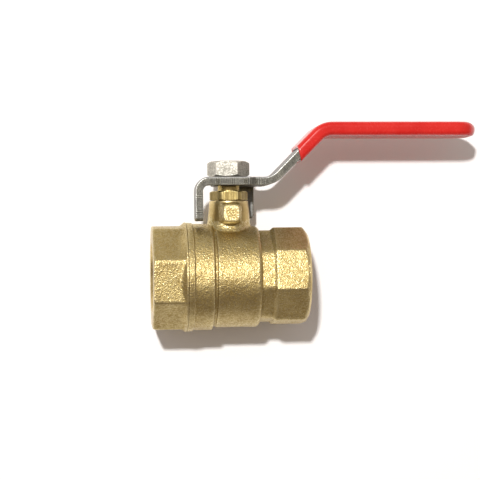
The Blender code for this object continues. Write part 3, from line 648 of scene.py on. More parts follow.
def makeBody():
    # A profile turned about the pipe, with octagon rows at its end, a turned neck and two lugs
    s, g = bodySizes, socketSizes
    low, high = cadBox("body")
    joint, face = low[0], high[0]
    outside = roundedPath(
        [
            (joint, s["capBore"], 0), (joint, s["rim"], 0.35),
            (joint + s["rimWidth"], s["rim"] - 0.2, 0.35),
            (joint + s["rimWidth"] + 0.35, s["band"], 0.3),
            (s["grooveStart"] - 0.5, s["band"], 0.45), (s["grooveStart"], s["grooveFloor"], 0.3),
            (s["grooveEnd"], s["grooveFloor"], 0.3), (s["grooveEnd"] + 0.45, s["barrel"], 0.45),
            (s["barrelEnd"], s["barrel"], s["barrelRound"]), (s["barrelEnd"], s["core"], 0),
        ],
        0.75,
        11,
    )
    rows = plainRows(outside, 1)
    rows[outside[:, 0] < joint + s["rimWidth"] + 0.2, 5] = 0.25
    rows[(outside[:, 0] > s["barrelEnd"] - s["barrelRound"]), 3] = s["waistFlats"]
    rows[(outside[:, 0] > s["barrelEnd"] - 0.1), 2] = s["waistMost"]
    over = s["flats"] / 2 / math.cos(math.pi / 8) + 0.3
    chamferFlat = face - s["chamfer"] + (over - s["flats"] / 2) / s["slope"]
    x = np.linspace(s["barrelEnd"] + 0.3, chamferFlat, 44)
    sides = np.zeros((len(x), 6))
    sides[:, 0] = x
    sides[:, 1] = s["core"]
    sides[:, 2] = over - np.maximum(x - (face - s["chamfer"]), -2) * s["slope"]
    widen = ramp(x, s["waistEnd"], s["flatsStart"])
    sides[:, 2] = np.minimum(sides[:, 2], s["waistMost"] + 2.5 * widen)
    sides[:, 3] = s["waistFlats"] + (s["flats"] - s["waistFlats"]) * widen
    sides[:, 5] = 1 - ramp(x, face - s["chamfer"] - 0.6, face - s["chamfer"] + 0.3)
    endFace = roundedPath(
        [
            (chamferFlat + 0.08, s["flats"] / 2 - 0.1, 0),
            (face, over - s["chamfer"] * s["slope"], 0.5),
            (face, g["radius"] + g["mouthChamfer"] * 0.75, 0.3),
            (face - g["mouthChamfer"], g["radius"], 0),
        ],
        0.8,
    )
    inside = roundedPath(
        [
            (g["bottom"], g["radius"], 0), (g["bottom"], g["bore"], 0.3),
            (g["pocketBottom"], g["bore"], 0.25), (g["pocketBottom"], g["pocket"], 0),
            (g["seatFront"], g["pocket"], 0.2),
            (g["seatFront"] - (s["chamber"] - g["pocket"]), s["chamber"], 0.5),
            (-g["seatFront"], s["chamber"], 0), (-g["seatFront"], s["capBore"], 0),
            (joint, s["capBore"] - 0.02, 0),
        ],
        2.5,
        15,
    )[:-1]
    pieces = [
        housingRings(np.concatenate([rows, sides]), fineAngles, s),
        plainRings(endFace),
        socketThread(face, 1),
        plainRings(inside),
    ]
    finish = np.repeat([0, 1, 2, 2], [len(piece) for piece in pieces])
    body = makeSolid("valveBody", np.concatenate(pieces), loop=True, finish=finish)

    # The neck: a turned post whose flared foot follows the barrel
    n = neckSizes
    top = high[2]
    angles = around(144)
    bend = np.linspace(84, 0, 12)[:, None] * math.pi / 180
    flareWidth = n["flareSide"] + (n["flareFront"] - n["flareSide"]) * np.sin(angles) ** 2
    radius = n["radius"] + 0.25 + flareWidth * (1 - np.cos(bend))
    outer = bodyOuterRadius(radius * np.cos(angles)) - 0.12
    foot = np.sqrt(outer ** 2 - (radius * np.sin(angles)) ** 2)
    flare = foot + n["flareHeight"] * (1 - np.sin(bend))
    flareRings = turnedRings(np.stack([flare, radius], -1), angles)
    flare = np.stack([flare, radius + 0.12 * lumps(flareRings, 1.6, 5)], -1)
    base = np.stack([foot[:1] - n["buried"], radius[:1]], -1)
    post = roundedPath(
        [
            (n["straightFrom"], n["radius"] + 0.2, 0), (top, n["radius"] - 0.4, 0.5),
            (top, n["glandBore"] - 1, 0),
        ],
        1.5,
    )
    post = np.stack([post[:, :1] + 0 * angles, post[:, 1:] + 0 * angles], -1)
    neckRings = turnedRings(np.concatenate([base, flare, post]), angles)
    # The foot's rows take the body's fourth material, the lighter brass of painted light
    neck = makeSolid("neckPost", neckRings, finish=[3] * 11 + [1] * 200)

    combine(body, "UNION", [neck, makeLug(-1), makeLug(1)])

    hole = roundedPath(
        [
            (top + 1, 0.01, 0), (top + 1, n["glandBore"] + 1, 0), (top - 0.6, n["glandBore"], 0),
            (n["packingFloor"], n["glandBore"], 0), (n["packingFloor"], n["stemBore"], 0.15),
            (n["washerSeat"], n["stemBore"], 0.15), (n["washerSeat"], n["collarBore"], 0),
            (n["collarRoomFrom"], n["collarBore"], 0), (n["collarRoomFrom"], 0.01, 0),
        ],
        3,
    )
    stemHole = makeSolid("stemHole", turnedRings(hole, around(72)), finish=[1] * 200)
    combine(body, "DIFFERENCE", [stemHole])
    finishPiece(
        body, "valve_body", ["body"],
        [forgedBrass, neckBrass, socketBrassPaintedShade, flareBrassPaintedLight], sharp=42, wearAndShade=0.55,
    )


def makeLug(side):
    # The stop lug: a drafted square with rounded corners, carried outwards along Y,
    # swelling where it leaves the neck and rounded over at its tip
    g = lugSizes
    angles = around(64)
    reach, root = g["reach"], neckSizes["radius"]
    edge = roundedPath([(g["start"], 0, 0), (reach, 0, g["edge"]), (reach, 2, 0)], 0.45, 15)
    along, drop = edge[:, :1], edge[:, 1:]
    half = g["foot"] + (g["tip"] - g["foot"]) * (along - root) / (reach - root)
    square = polygon(angles, 2.0, 4, 0, 4.5)
    across = half * square * np.cos(angles)
    off = along - np.sqrt(np.maximum(root ** 2 - across ** 2, 0))
    swell = g["fillet"] * (1 - np.clip(off / (1.6 * g["fillet"]), 0, 1)) ** 2
    half = half + swell - drop
    where = np.stack([across, along + 0 * across, half * np.sin(angles)], -1)
    half = half + 0.05 * lumps(where, 1.5, 11)
    rings = np.stack(
        [
            half * square * np.cos(angles),
            side * along + 0 * angles,
            g["height"] + half * square * np.sin(angles),
        ],
        -1,
    )
    # The lug takes the body's fourth material, the lighter brass of painted light
    return makeSolid("lugFront" if side < 0 else "lugBack", rings, finish=[3] * 200)


makeBody()

capSizes = {
    "flats": 46.0, "tilt": -4, "crest": 25.1, "crestWidth": 0.8, "fillet": 3.2, "chamfer": 0.8,
    "slope": 1.33, "edge": 0.35, "threadR": 20.8,
}


def makeEndCap():
    # A profile turned about the pipe, from its spigot over a crest to octagon rows and the socket
    s, g = capSizes, socketSizes
    face = cadBox("end_cap")[0][0]
    joint = cadBox("body")[0][0] - 0.05
    flatR = s["flats"] / 2
    over = flatR / math.cos(math.pi / 8) + 0.3
    bend = np.linspace(0, 1, 12)
    fillet = np.stack(
        [
            joint - s["crestWidth"] - s["fillet"] * bend,
            flatR - 0.35 + (s["crest"] - flatR + 0.35) * (1 - bend) ** 1.25,
        ],
        1,
    )
    crest = roundedPath(
        [
            (-g["seatFront"] - 0.3, g["pocket"], 0), (-g["seatFront"] - 0.3, s["threadR"], 0.6),
            (joint, s["threadR"], 0.2), (joint, s["crest"], 0.3),
            (joint - s["crestWidth"], s["crest"], 0.25),
            tuple(fillet[2]),
        ],
        0.8,
    )[:-1]
    front = plainRows(np.concatenate([crest, fillet[2:]]), 0.3)
    front[len(crest) :, 3] = s["flats"]
    front[: len(crest), 5] = 0
    x = np.linspace(fillet[-1, 0] - 0.3, face + s["edge"], 30)
    sides = np.zeros((len(x), 6))
    sides[:, 0] = x
    sides[:, 1] = flatR - 2
    sides[:, 3] = s["flats"]
    sides[:, 5] = ramp(x, face, face + 2.5)
    bend = np.linspace(15, 90, 6) * math.pi / 180
    edge = np.zeros((6, 6))
    edge[:, 0] = face + s["edge"] * (1 - np.sin(bend))
    edge[:, 1] = flatR - 2
    edge[:, 3] = s["flats"]
    edge[:, 4] = s["edge"] * (1 - np.cos(bend))
    for block in (sides, edge):
        block[:, 2] = over - np.maximum(face + s["chamfer"] - block[:, 0], -2) * s["slope"]
    mouth = g["radius"] + g["mouthChamfer"] * 0.75
    chamfer = roundedPath(
        [(face, mouth + 0.4, 0), (face, mouth, 0.3), (face + g["mouthChamfer"], g["radius"], 0)], 0.8
    )
    inside = roundedPath(
        [
            (-g["bottom"], g["radius"], 0), (-g["bottom"], g["bore"], 0.3),
            (-g["pocketBottom"], g["bore"], 0.25), (-g["pocketBottom"], g["pocket"], 0),
            (-g["seatFront"] - 0.35, g["pocket"], 0.2),
        ],
        2.5,
        15,
    )
    shell = housingRings(np.concatenate([front, sides, edge]), fineAngles, s)
    # The end face: straight lines from the rounded edge in to the mouth
    inner = turnedRings(np.array([[face, mouth + 0.4]]), fineAngles, "x")[0]
    endFace = shell[-1] + (inner - shell[-1]) * np.linspace(0.06, 0.96, 9)[:, None, None]
    pieces = [
        shell,
        endFace,
        plainRings(chamfer),
        socketThread(face, -1),
        plainRings(inside),
    ]
    finish = np.repeat([0, 1, 1, 2, 2], [len(piece) for piece in pieces])
    cap = makeSolid("endCap", np.concatenate(pieces), loop=True, finish=finish)
    finishPiece(
        cap, "valve_body", ["end_cap"],
        [forgedBrass, machinedBrass, socketBrassPaintedShade], sharp=42, wearAndShade=0.55,
    )


makeEndCap()

# Inside: ball, stem, packing


ballSizes = {"lip": 0.6, "boreFrom": 1.4, "slotClear": 0.3}
stemSizes = {
    "radius": 5.0, "collarLow": 19.7, "collarTop": 21.6, "shoulder": 41.5, "halfFlats": 3.75,
    "halfTang": 2.9, "threadFrom": 7.6, "pitch": 1.5, "threadDepth": 0.75, "tipChamfer": 0.9,
}


def makeBall():
    # A sphere from lip to lip, bored through, with a slot across its top for the stem's tang
    g = ballSizes
    radius = cadBox("ball")[1][1]
    bore, lip = socketSizes["bore"], g["lip"]
    start = math.asin((bore + lip) / radius)
    sweep = np.linspace(start, math.pi - start, 90)
    outer = np.stack([radius * np.cos(sweep), radius * np.sin(sweep)], 1)
    edge = outer[0, 0]
    turn = np.linspace(15, 90, 6) * math.pi / 180
    lipArc = np.stack([edge - lip * 0.9 * (1 - np.cos(turn)), bore + lip * (1 - np.sin(turn))], 1)
    inner = edge - g["boreFrom"]
    boreLine = np.stack([np.linspace(inner, -inner, 12), np.full(12, bore)], 1)
    path = np.concatenate([boreLine[::-1], lipArc[::-1], outer, lipArc * (-1, 1)])
    ball = makeSolid("boredBall", turnedRings(path, around(128), "x"), loop=True)
    half = stemSizes["halfTang"] + g["slotClear"]
    floor = cadBox("stem")[0][2] - g["slotClear"]
    corners = roundedPath(
        [(-half, 30, 0), (-half, floor, 0.5), (half, floor, 0.5), (half, 30, 0)], 3, closed=True
    )
    slab = np.stack([np.insert(corners, 1, y, axis=1) for y in (-25.0, 25.0)])
    combine(ball, "DIFFERENCE", [makeSolid("tangSlot", slab)])
    finishPiece(ball, "ball", ["ball"], [ballChrome])


def makeStem():
    # A turned stem: its radius is cut down by flats at the tang and through the lever,
    # and a fine helix makes the thread that the lever nut runs on
    g = stemSizes
    low, high = cadBox("stem")
    radius, collarLow, collarTop = g["radius"], g["collarLow"], g["collarTop"]
    angles = around(96)
    path = roundedPath(
        [
            (low[2], 0.2, 0), (low[2], radius, 0.5), (collarLow, radius, 0),
            (collarLow, high[0], 0.25), (collarTop, high[0], 0.25), (collarTop, radius, 0.1),
            (high[2] - g["threadFrom"], radius, 0),
        ],
        0.8,
    )
    z = np.arange(high[2] - 7.45, high[2] - 0.85, 0.17)
    threaded = np.stack([z, np.full(len(z), radius)], 1)
    tip = roundedPath(
        [(high[2] - 0.85, radius, 0), (high[2], radius - g["tipChamfer"], 0.3), (high[2], 0.2, 0)], 0.8
    )
    path = np.concatenate([path, threaded, tip])
    z, r = path[:, :1], path[:, 1:]
    turns = z / g["pitch"] - angles / math.tau
    tooth = np.abs(2 * (turns - np.floor(turns)) - 1)
    depth = g["threadDepth"] * np.clip((tooth - 0.12) / 0.76, 0, 1)
    depth = depth * ramp(z, high[2] - 7.4, high[2] - 6.4)
    depth = depth * (1 - ramp(z, high[2] - 0.9, high[2] - 0.3))
    r = r - depth
    flat = g["halfFlats"] / np.maximum(np.abs(np.sin(angles)), 0.01)
    tang = g["halfTang"] / np.maximum(np.abs(np.cos(angles)), 0.01)
    r = np.where(z > g["shoulder"], np.minimum(r, flat), r)
    r = np.where(z < collarLow - 0.02, np.minimum(r, tang), r)
    rings = np.stack([r * np.cos(angles), r * np.sin(angles), z + 0 * angles], -1)
    stem = makeSolid("valveStem", rings)
    finishPiece(stem, "stem_lever", ["stem"], [stemBrassPaintedLight], sharp=35)


makeBall()
makeStem()
plasticNodes = (
    "seat_left", "seat_right", "stem_thrust_washer", "stem_packing_lower", "stem_packing_upper",
)
for name in plasticNodes:
    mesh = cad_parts[name].data
    mesh.materials.clear()
    mesh.materials.append(seatPlastic)

# Gland nut and lever nut


def hexRings(path, columns, flats, turn, crisp):
    # A turned (height, radius) path, held inside a hexagon of this width over its flats
    angles = around(columns)
    hexagon = polygon(angles, flats, 6, 90 + turn, crisp)
    r = np.minimum(path[:, 1:], hexagon)
    return np.stack([r * np.cos(angles), r * np.sin(angles), path[:, :1] + 0 * angles], -1)


glandSizes = {
    "flats": 16.0, "round": 8.75, "thread": 7.0, "bore": 5.3, "cornerWidth": 0.75, "cornerHeight": 0.45,
}
leverNutSizes = {"flats": 17.0, "turn": -10, "chamfer": 0.95, "bore": 5.3, "sink": 0.6}


def makeGlandNut():
    # Hexagon with turned-off corners over a threaded spigot, bored for the stem
    s = glandSizes
    low, high = cadBox("gland_nut")
    seat = cadBox("body")[1][2] + 0.3
    path = roundedPath(
        [
            (high[2], s["bore"], 0.3), (high[2], s["round"] - s["cornerWidth"], 0.2),
            (high[2] - s["cornerHeight"], s["round"], 0.25), (seat + 0.2, s["round"], 0.15),
            (seat, s["round"] - 0.25, 0.1), (seat, s["thread"], 0), (low[2], s["thread"], 0.4),
            (low[2], s["bore"], 0.2),
        ],
        0.5,
        closed=True,
    )
    gland = makeSolid("glandNut", hexRings(path, 192, s["flats"], 0, 300), loop=True)
    finishPiece(gland, "valve_body", ["gland_nut"], [glandBrass], sharp=30, wearAndShade=0.4)


def makeLeverNut():
    # Hexagon inside two 30 degree cones, which cut the curved chamfers, with a countersunk bore
    s = leverNutSizes
    low, high = cadBox("lever_nut")
    corner = s["flats"] / 2 / math.cos(math.pi / 6)
    lost = s["chamfer"] / math.tan(math.radians(30))
    path = roundedPath(
        [
            (high[2], s["bore"] + s["sink"], 0.1), (high[2], corner - lost, 0.35),
            (high[2] - s["chamfer"], corner + 0.02, 0.15),
            (low[2] + s["chamfer"], corner + 0.02, 0.15), (low[2], corner - lost, 0.35),
            (low[2], s["bore"] + 0.5, 0.1), (low[2] + s["sink"], s["bore"], 0),
            (high[2] - s["sink"], s["bore"], 0),
        ],
        0.3,
        closed=True,
    )
    nut = makeSolid("leverNut", hexRings(path, 240, s["flats"], s["turn"], 420), loop=True)
    finishPiece(nut, "stem_lever", ["lever_nut"], [nutZinc], sharp=30, wearAndShade=0.45)


makeGlandNut()
makeLeverNut()

# Lever: a flat blank, bent along its length and across one tab

leverSizes = {
    "thick": 3.8, "bendR": 4.8, "armBendR": 10.0, "halfArm": 9.75, "hubFront": 12.0, "hubEnd": 9.3,
    "riseX": 19.6, "topX": 43.2, "rise": 23.8, "tabMiddle": 14.5, "tabEdge": 4.75,
    "tabLength": 8.4, "frontTabLow": 25.5, "rearTabLow": 27.0, "roll": 0.85, "burr": 0.35,
    "ridge": 0.13, "ridgePitch": 0.9, "noseFlat": 0.6, "slotRadius": 5.3, "slotHalf": 4.05,
    "halfBlank": 40, "frontBendPassed": 20, "seat": 0.3,
}


def bendLine(corners, step=0.02):
    # Follows a bent line: its direction against its length, and from that its two coordinates
    path = roundedPath(corners, 5, 1.5)
    along = np.diff(path, axis=0)
    lengths = np.linalg.norm(along, axis=1)
    middles = np.cumsum(lengths) - lengths / 2
    turn = np.unwrap(np.arctan2(along[:, 1], along[:, 0]))
    s = np.arange(0, lengths.sum() + step, step)
    angle = np.interp(s, middles, turn)
    # The line itself keeps the exact places
    knots = np.concatenate([[0], np.cumsum(lengths)])
    return s, np.interp(s, knots, path[:, 0]), np.interp(s, knots, path[:, 1]), angle


class BentSheet:
    # Takes places on a flat blank (along, across, height off its middle) to the bent lever:
    # across is bent over the rear tab, and then along is bent over the front tab and the arm
    def __init__(self):
        g = leverSizes
        self.plateZ = cadBox("lever_nut")[0][2] - g["seat"] - g["thick"] / 2
        self.handleZ = self.plateZ + g["rise"]
        self.tip = cadBox("lever")[1][0]
        self.along = bendLine(
            [
                (-g["tabMiddle"], g["frontTabLow"], 0),
                (-g["tabMiddle"], self.plateZ, g["bendR"]),
                (g["riseX"], self.plateZ, g["armBendR"]),
                (g["topX"], self.handleZ, g["armBendR"]), (self.tip + 20, self.handleZ, 0),
            ]
        )
        self.across = bendLine(
            [(-g["halfBlank"], 0, 0), (g["tabMiddle"], 0, g["bendR"]), (g["tabMiddle"], -60, 0)]
        )

    def lengthAt(self, x):
        # How far along the blank a place on the hub or the arm is, past the front bend
        s, xs = self.along[:2]
        start = np.searchsorted(s, leverSizes["frontBendPassed"])
        return float(np.interp(x, xs[start:], s[start:]))

    def bend(self, s, y, n):
        along, xs, zs, turn = self.along
        across, ys, drops, lean = self.across
        t = y + leverSizes["halfBlank"]
        tilt = np.interp(t, across, lean)
        newY = np.interp(t, across, ys) - n * np.sin(tilt)
        rise = np.interp(t, across, drops) + n * np.cos(tilt)
        angle = np.interp(s, along, turn)
        return np.stack(
            [
                np.interp(s, along, xs) - rise * np.sin(angle),
                newY,
                np.interp(s, along, zs) + rise * np.cos(angle),
            ],
            -1,
        )


sheet = BentSheet()


def cleanMesh(mesh):
    # Drops loose points and makes neighbouring faces agree
    work = bmesh.new()
    work.from_mesh(mesh)
    loose = [vertex for vertex in work.verts if not vertex.link_faces]
    bmesh.ops.delete(work, geom=loose, context="VERTS")
    bmesh.ops.recalc_face_normals(work, faces=work.faces)
    work.to_mesh(mesh)
    work.free()


def makeLever():
    # The flat outline is sampled along its front and back edges, given its section, filled and bent
    g = leverSizes
    at = sheet.lengthAt
    half, hub = g["halfArm"], g["hubFront"]
    tip = at(sheet.tip)
    nose = half - g["noseFlat"]
    hubLeft = at(g["thick"] / 2 + g["bendR"] - g["tabMiddle"])
    tabLeft = at(g["tabEdge"])
    tabRight = at(g["tabEdge"] + g["tabLength"])
    tabTip = (
        g["tabMiddle"] - g["bendR"] + g["bendR"] * math.pi / 2
        + sheet.plateZ - g["bendR"] - g["rearTabLow"]
    )
    step = 0.3
    front = [
        (tip, 0, 0), (tip, -half, nose), (at(g["hubEnd"] + hub - half), -half, 1.5),
        (at(g["hubEnd"]), -hub, 2.0), (0, -hub, 1.6), (0, -(hub + g["tabEdge"]) / 2, 0),
    ]
    back = [
        (tip, 0, 0), (tip, half, nose), (tabRight, half, 1.0), (tabRight, tabTip, 1.6),
        (tabLeft, tabTip, 1.6), (tabLeft, half, 1.0), (hubLeft, half, half / 3),
        (hubLeft, -g["tabEdge"], 1.0), (0, -g["tabEdge"], 1.6), (0, -(hub + g["tabEdge"]) / 2, 0),
    ]
    # Places on the two edges that face each other. The lines between them run straight past the
    # inner corners of the tabs, so that they cross neither each other nor the rolled edge.
    frontStops = [
        (tip, 0), (at(95), -half), (at(12.2), -half), (at(11.0), -half), (at(7.4), -hub),
        (at(6.2), -hub), (hubLeft + 2.8, -hub), (hubLeft + 1.4, -hub), (hubLeft - 1.5, -hub),
        (2.4, -hub), (0, -(hub + g["tabEdge"]) / 2),
    ]
    backStops = [
        (tip, 0), (at(95), half), (tabRight, half + 1.2), (tabRight, tabTip - 2), (tabLeft, tabTip - 2),
        (tabLeft, half + 1.2), (hubLeft + 1, half - 0.6), (hubLeft, 1.2 - g["tabEdge"]),
        (hubLeft - 1.5, -g["tabEdge"]), (2.4, -g["tabEdge"]), (0, -(hub + g["tabEdge"]) / 2),
    ]
    edges = []
    for corners, stops in ((front, frontStops), (back, backStops)):
        path = roundedPath(corners, 0.5, 6)
        lengths = np.concatenate([[0], np.cumsum(np.linalg.norm(np.diff(path, axis=0), axis=1))])
        nearest = [lengths[np.argmin(((path - stop) ** 2).sum(1))] for stop in np.array(stops)]
        nearest[0], nearest[-1] = 0, lengths[-1]
        edges.append((path, lengths, np.array(nearest)))
    spans = np.maximum(np.diff(edges[0][2]), np.diff(edges[1][2]))
    counts = np.maximum(np.ceil(spans / step).astype(int), 2)
    sampled = []
    for path, lengths, stops in edges:
        places = np.concatenate(
            [np.linspace(a, b, n, endpoint=False) for a, b, n in zip(stops, stops[1:], counts)]
        )
        places = np.append(places, stops[-1])
        sampled.append(np.stack([np.interp(places, lengths, path[:, k]) for k in (0, 1)], 1))
    frontEdge, backEdge = sampled
    outline = np.concatenate([frontEdge, backEdge[-2:0:-1]])
    total = len(outline)
    tangent = np.roll(outline, -1, axis=0) - np.roll(outline, 1, axis=0)
    tangent /= np.linalg.norm(tangent, axis=1)[:, None]
    outward = np.stack([-tangent[:, 1], tangent[:, 0]], 1)
    outward *= -np.sign((outward * (outline.mean(0) - outline)).sum())
    travelled = np.cumsum(np.linalg.norm(outline - np.roll(outline, 1, axis=0), axis=1))

    # The edge's section, carried round the outline: rolled over on top, sheared below with a burr
    thick = g["thick"] / 2
    section = roundedPath(
        [
            (g["roll"] + 0.4, thick, 0), (0, thick, g["roll"]), (0, 0.2, 0), (0.08, -thick, g["burr"]),
            (g["burr"] + 0.4, -thick, 0),
        ],
        0.45,
        14,
    )
    inset, height = section[:, :1], section[:, 1:]
    wave = np.sin(travelled / g["ridgePitch"] * math.tau + 1.5 * np.sin(travelled * 0.9))
    crisp = np.clip(wave * 1.6, -1, 1)
    window = ramp(height, thick, thick - 1.3) * ramp(height, -thick, -thick + 0.5)
    pushed = g["ridge"] * window * (crisp - 1) / 2
    place = outline[None] + outward[None] * (pushed - inset)[..., None]
    band = sheet.bend(place[..., 0], place[..., 1], height + 0 * place[..., 0])

    # Top and bottom: straight lines between facing places of the two edges.
    # The nose and the front tab's end are each one flat face.
    lines = np.arange(6, len(frontEdge) - counts[-1])
    columns = 28
    part = np.linspace(0, 1, columns + 1)[None, 1:-1, None]
    points = [band.reshape(-1, 3)]
    bandQuads = ringQuads(len(section), total)
    sheared = [np.full(len(bandQuads), 1)]
    sheared[0][np.repeat(height[:-1, 0] > thick - g["roll"] * 0.6, total)] = 0
    base = len(section) * total
    caps = []
    ends = []
    for side, ringRow in ((1, 0), (-1, len(section) - 1)):
        a = place[ringRow][lines][:, None]
        b = place[ringRow][total - lines][:, None]
        x, y = np.moveaxis(a + (b - a) * part, -1, 0)
        points.append(sheet.bend(x, y, side * thick + 0 * x).reshape(-1, 3))
        index = np.empty((len(lines), columns + 1), int)
        index[:, 0] = ringRow * total + lines
        index[:, -1] = ringRow * total + total - lines
        within = len(lines) * (columns - 1)
        index[:, 1:-1] = base + np.arange(within).reshape(len(lines), -1)
        base += within
        quads = np.stack([index[:-1, :-1], index[:-1, 1:], index[1:, 1:], index[1:, :-1]], -1)
        quads = quads.reshape(-1, 4)[:, :: -side]
        caps.append(quads)
        tabEnd = ringRow * total + np.arange(lines[-1], total - lines[-1] + 1)
        ends.append(np.concatenate([tabEnd, index[-1, 1:-1][::-1]]).tolist())
        nose = ringRow * total + np.arange(total - lines[0], total + lines[0] + 1) % total
        ends.append(np.concatenate([nose, index[0, 1:-1]]).tolist())
        sheared.append(np.zeros(len(quads), int))
    points = np.concatenate(points)
    allFaces = np.concatenate([bandQuads, *caps]).tolist() + ends
    sheared.append(np.zeros(len(ends), int))
    mesh = bpy.data.meshes.new("leverPlate")
    mesh.from_pydata((points * mm).tolist(), [], allFaces)
    mesh.polygons.foreach_set("material_index", np.concatenate(sheared).astype(np.int32))
    lever = bpy.data.objects.new("leverPlate", mesh)
    bpy.context.scene.collection.objects.link(lever)
    cleanMesh(mesh)
    faceOut(lever)

    # The stem's hole: a circle with two flats
    angles = around(72)
    radius = np.minimum(g["slotRadius"], g["slotHalf"] / np.maximum(np.abs(np.sin(angles)), 0.01))
    levels = np.array([sheet.plateZ - 4, sheet.plateZ + 4])[:, None]
    drill = turnedRings(np.stack([levels + 0 * angles, radius + 0 * levels], -1), angles)
    combine(lever, "DIFFERENCE", [makeSolid("stemSlot", drill, finish=[1, 1])])
    finishPiece(
        lever, "stem_lever", ["lever"], [plateSteel, shearedSteel], sharp=50, wearAndShade=0.7
    )


makeLever()

# Grip

gripSizes = {
    "startX": 32.1, "wall": 1.35, "side": 1.65, "soft": 2.4, "lip": 0.5, "clear": 0.12,
    "slant": 14.0, "startLean": 0.26, "noseTop": 6.5, "noseLow": 3.0, "noseWall": 1.2,
}


def makeGrip():
    # A rounded bar carried along the bent handle: its section shrinks to the nose in plan,
    # and at its open end the rings lean over into one upright plane, where the dip stopped
    g, plate = gripSizes, leverSizes
    angles = around(72)
    start = sheet.lengthAt(g["startX"])
    rise = math.atan2(plate["rise"], plate["topX"] - plate["riseX"])

    def shell(extraHalf, extraThick, tip):
        # Rings from the open end to the nose: a flat-sided loop of these half sizes
        noseLength = plate["halfArm"] + extraHalf - plate["noseFlat"]
        straight = np.linspace(start, tip - noseLength, 150)
        turn = np.linspace(3, 90, 34) * math.pi / 180
        s = np.concatenate([straight, tip - noseLength + noseLength * np.sin(turn)])
        width = 0.06 + 0.94 * np.sqrt(1 - np.sin(turn) ** 2 * 0.9999)
        halfWidth = (plate["halfArm"] + extraHalf) * np.concatenate([np.ones(150), width])
        left = np.maximum(tip - s, 0)[:, None]
        left = left / np.where(np.sin(angles) > 0, g["noseTop"], g["noseLow"])
        closing = np.sqrt(np.clip(1 - (1 - np.clip(left, 0, 1)) ** 2, 0.0, 1))
        halfThick = (plate["thick"] / 2 + extraThick) * np.maximum(closing, 0.02)
        roundness = np.minimum(halfThick, g["soft"])
        # A rounded rectangle: a small circle of the roundness, pushed out to the corners of a box
        direction = np.stack([np.cos(angles), np.sin(angles)])
        corner = np.sign(direction) * np.minimum(np.abs(direction) * 6, 1)
        y = corner[0] * np.maximum(halfWidth[:, None] - roundness, 0) + roundness * direction[0]
        n = corner[1] * np.maximum(halfThick - roundness, 0) + roundness * direction[1]
        lean = (1 - ramp(s, start, start + g["slant"]))[:, None] * math.tan(rise - g["startLean"])
        return s[:, None] + n * lean, y, n

    tip = sheet.lengthAt(cadBox("grip")[1][0])
    outer = shell(g["side"], g["wall"], tip)
    inner = shell(g["clear"], g["clear"], tip - g["noseWall"])
    outerRings = sheet.bend(*outer)
    innerRings = sheet.bend(*inner)
    # The lip: a half-round turn from the inner ring to the outer ring, standing out a little
    turn = np.linspace(0, 180, 9)[1:-1, None, None] * math.pi / 180
    middle = (outerRings[0] + innerRings[0]) / 2
    reachOut = (outerRings[0] - innerRings[0]) / 2
    lip = middle - reachOut * np.cos(turn) + np.array([-g["lip"], 0, 0]) * np.sin(turn)
    rings = np.concatenate([innerRings[::-1], lip, outerRings])
    grip = makeSolid("vinylGrip", rings)
    finishPiece(grip, "stem_lever", ["grip"], [redVinyl], sharp=60, wearAndShade=0.8)


makeGrip()

# Stage, light and camera

stageSizes = {"behind": 25.3, "half": 2200.0}


def makeStage():
    # The pale surface that the valve lies against, seen from its front only
    half, y = stageSizes["half"] * mm, stageSizes["behind"] * mm
    mesh = bpy.data.meshes.new("paleSheet")
    corners = [(-half, y, -half), (half, y, -half), (half, y, half), (-half, y, half)]
    mesh.from_pydata(corners, [], [(0, 1, 2, 3)])
    sheetObject = bpy.data.objects.new("paleSheet", mesh)
    bpy.context.scene.collection.objects.link(sheetObject)
    material, tree, shader = newMaterial("palePaper", 0.0, 0.8)
    shader.inputs["Base Color"].default_value = (0.98, 0.975, 0.975, 1)
    side = addNode(tree, "ShaderNodeNewGeometry").outputs["Backfacing"]
    clear = addNode(tree, "ShaderNodeBsdfTransparent")
    mix = addNode(
        tree, "ShaderNodeMixShader", None, i0=side, i1=shader.outputs[0], i2=clear.outputs[0]
    )
    tree.links.new(mix.outputs[0], tree.nodes["Material Output"].inputs["Surface"])
    mesh.materials.append(material)


def makeLight(name, place, aim, size, power, colour):
    # A square light of this size in metres, turned to face its aim
    lamp = bpy.data.lights.new(name, "AREA")
    lamp.size = size
    lamp.energy = power
    lamp.color = colour
    light = bpy.data.objects.new(name, lamp)
    bpy.context.scene.collection.objects.link(light)
    light.location = place
    light.rotation_euler = (Vector(aim) - Vector(place)).to_track_quat("-Z", "Y").to_euler()


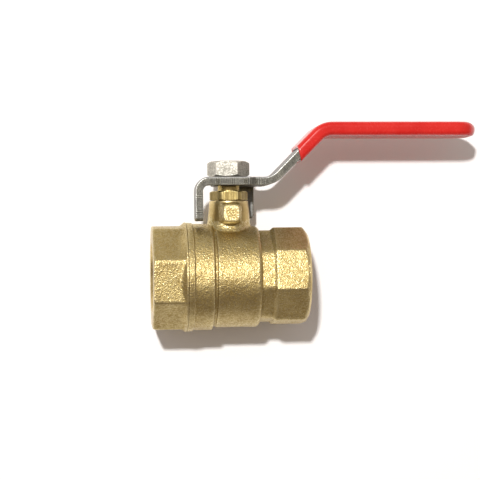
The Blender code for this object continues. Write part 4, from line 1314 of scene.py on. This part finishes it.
def makeWorld():
    # A soft room: brightest a little above the horizon, dimmer overhead and dimmest below.
    # The camera itself sees plain white.
    world = bpy.data.worlds.new("softRoom")
    bpy.context.scene.world = world
    world.use_nodes = True
    tree = world.node_tree
    where = addNode(tree, "ShaderNodeTexCoord").outputs["Generated"]
    up = addNode(tree, "ShaderNodeSeparateXYZ", None, Vector=where).outputs["Z"]
    height = mapRange(tree, up, -1.0, 1.0)
    room = addNode(tree, "ShaderNodeValToRGB", None, Fac=height)
    room.color_ramp.elements[0].color = (0.20, 0.16, 0.13, 1)
    room.color_ramp.elements[1].color = (0.34, 0.32, 0.30, 1)
    for place, colour in ((0.42, (0.30, 0.25, 0.22, 1)), (0.6, (0.58, 0.53, 0.49, 1))):
        room.color_ramp.elements.new(place).color = colour
    seen = addNode(tree, "ShaderNodeLightPath").outputs["Is Camera Ray"]
    colour = mixColour(tree, seen, room.outputs[0], (1, 1, 1, 1))
    background = tree.nodes["Background"]
    tree.links.new(colour, background.inputs["Color"])


cameraSizes = {
    "place": (-58.5, -620.0, 15.2), "azimuth": 5.86, "pitch": 0.15, "roll": 0.55, "lens": 101.2,
}


def makeCamera():
    # The camera looks along +Y, turned towards +X, tipped up and rolled by small angles
    c = cameraSizes
    azimuth, pitch, roll = (math.radians(c[name]) for name in ("azimuth", "pitch", "roll"))
    forward = Vector(
        (math.sin(azimuth) * math.cos(pitch), math.cos(azimuth) * math.cos(pitch), math.sin(pitch))
    )
    level = Vector((math.cos(azimuth), -math.sin(azimuth), 0))
    right = level * math.cos(roll) - level.cross(forward) * math.sin(roll)
    up = right.cross(forward)
    data = bpy.data.cameras.new("camera")
    data.lens = c["lens"]
    data.sensor_width = 36
    data.clip_start, data.clip_end = 0.01, 20
    camera = bpy.data.objects.new("camera", data)
    bpy.context.scene.collection.objects.link(camera)
    turn = Matrix((right, up, -forward)).transposed().to_4x4()
    camera.matrix_world = Matrix.Translation(Vector(c["place"]) * mm) @ turn
    bpy.context.scene.camera = camera


makeStage()
makeLight("keyLight", (-0.269, -1.3, 0.439), (0.03, 0, 0.01), 0.07, 18.0, (1.0, 0.985, 0.97))
makeWorld()
makeCamera()
bpy.context.scene.view_settings.view_transform = "Standard"
print("stage, light and camera made")
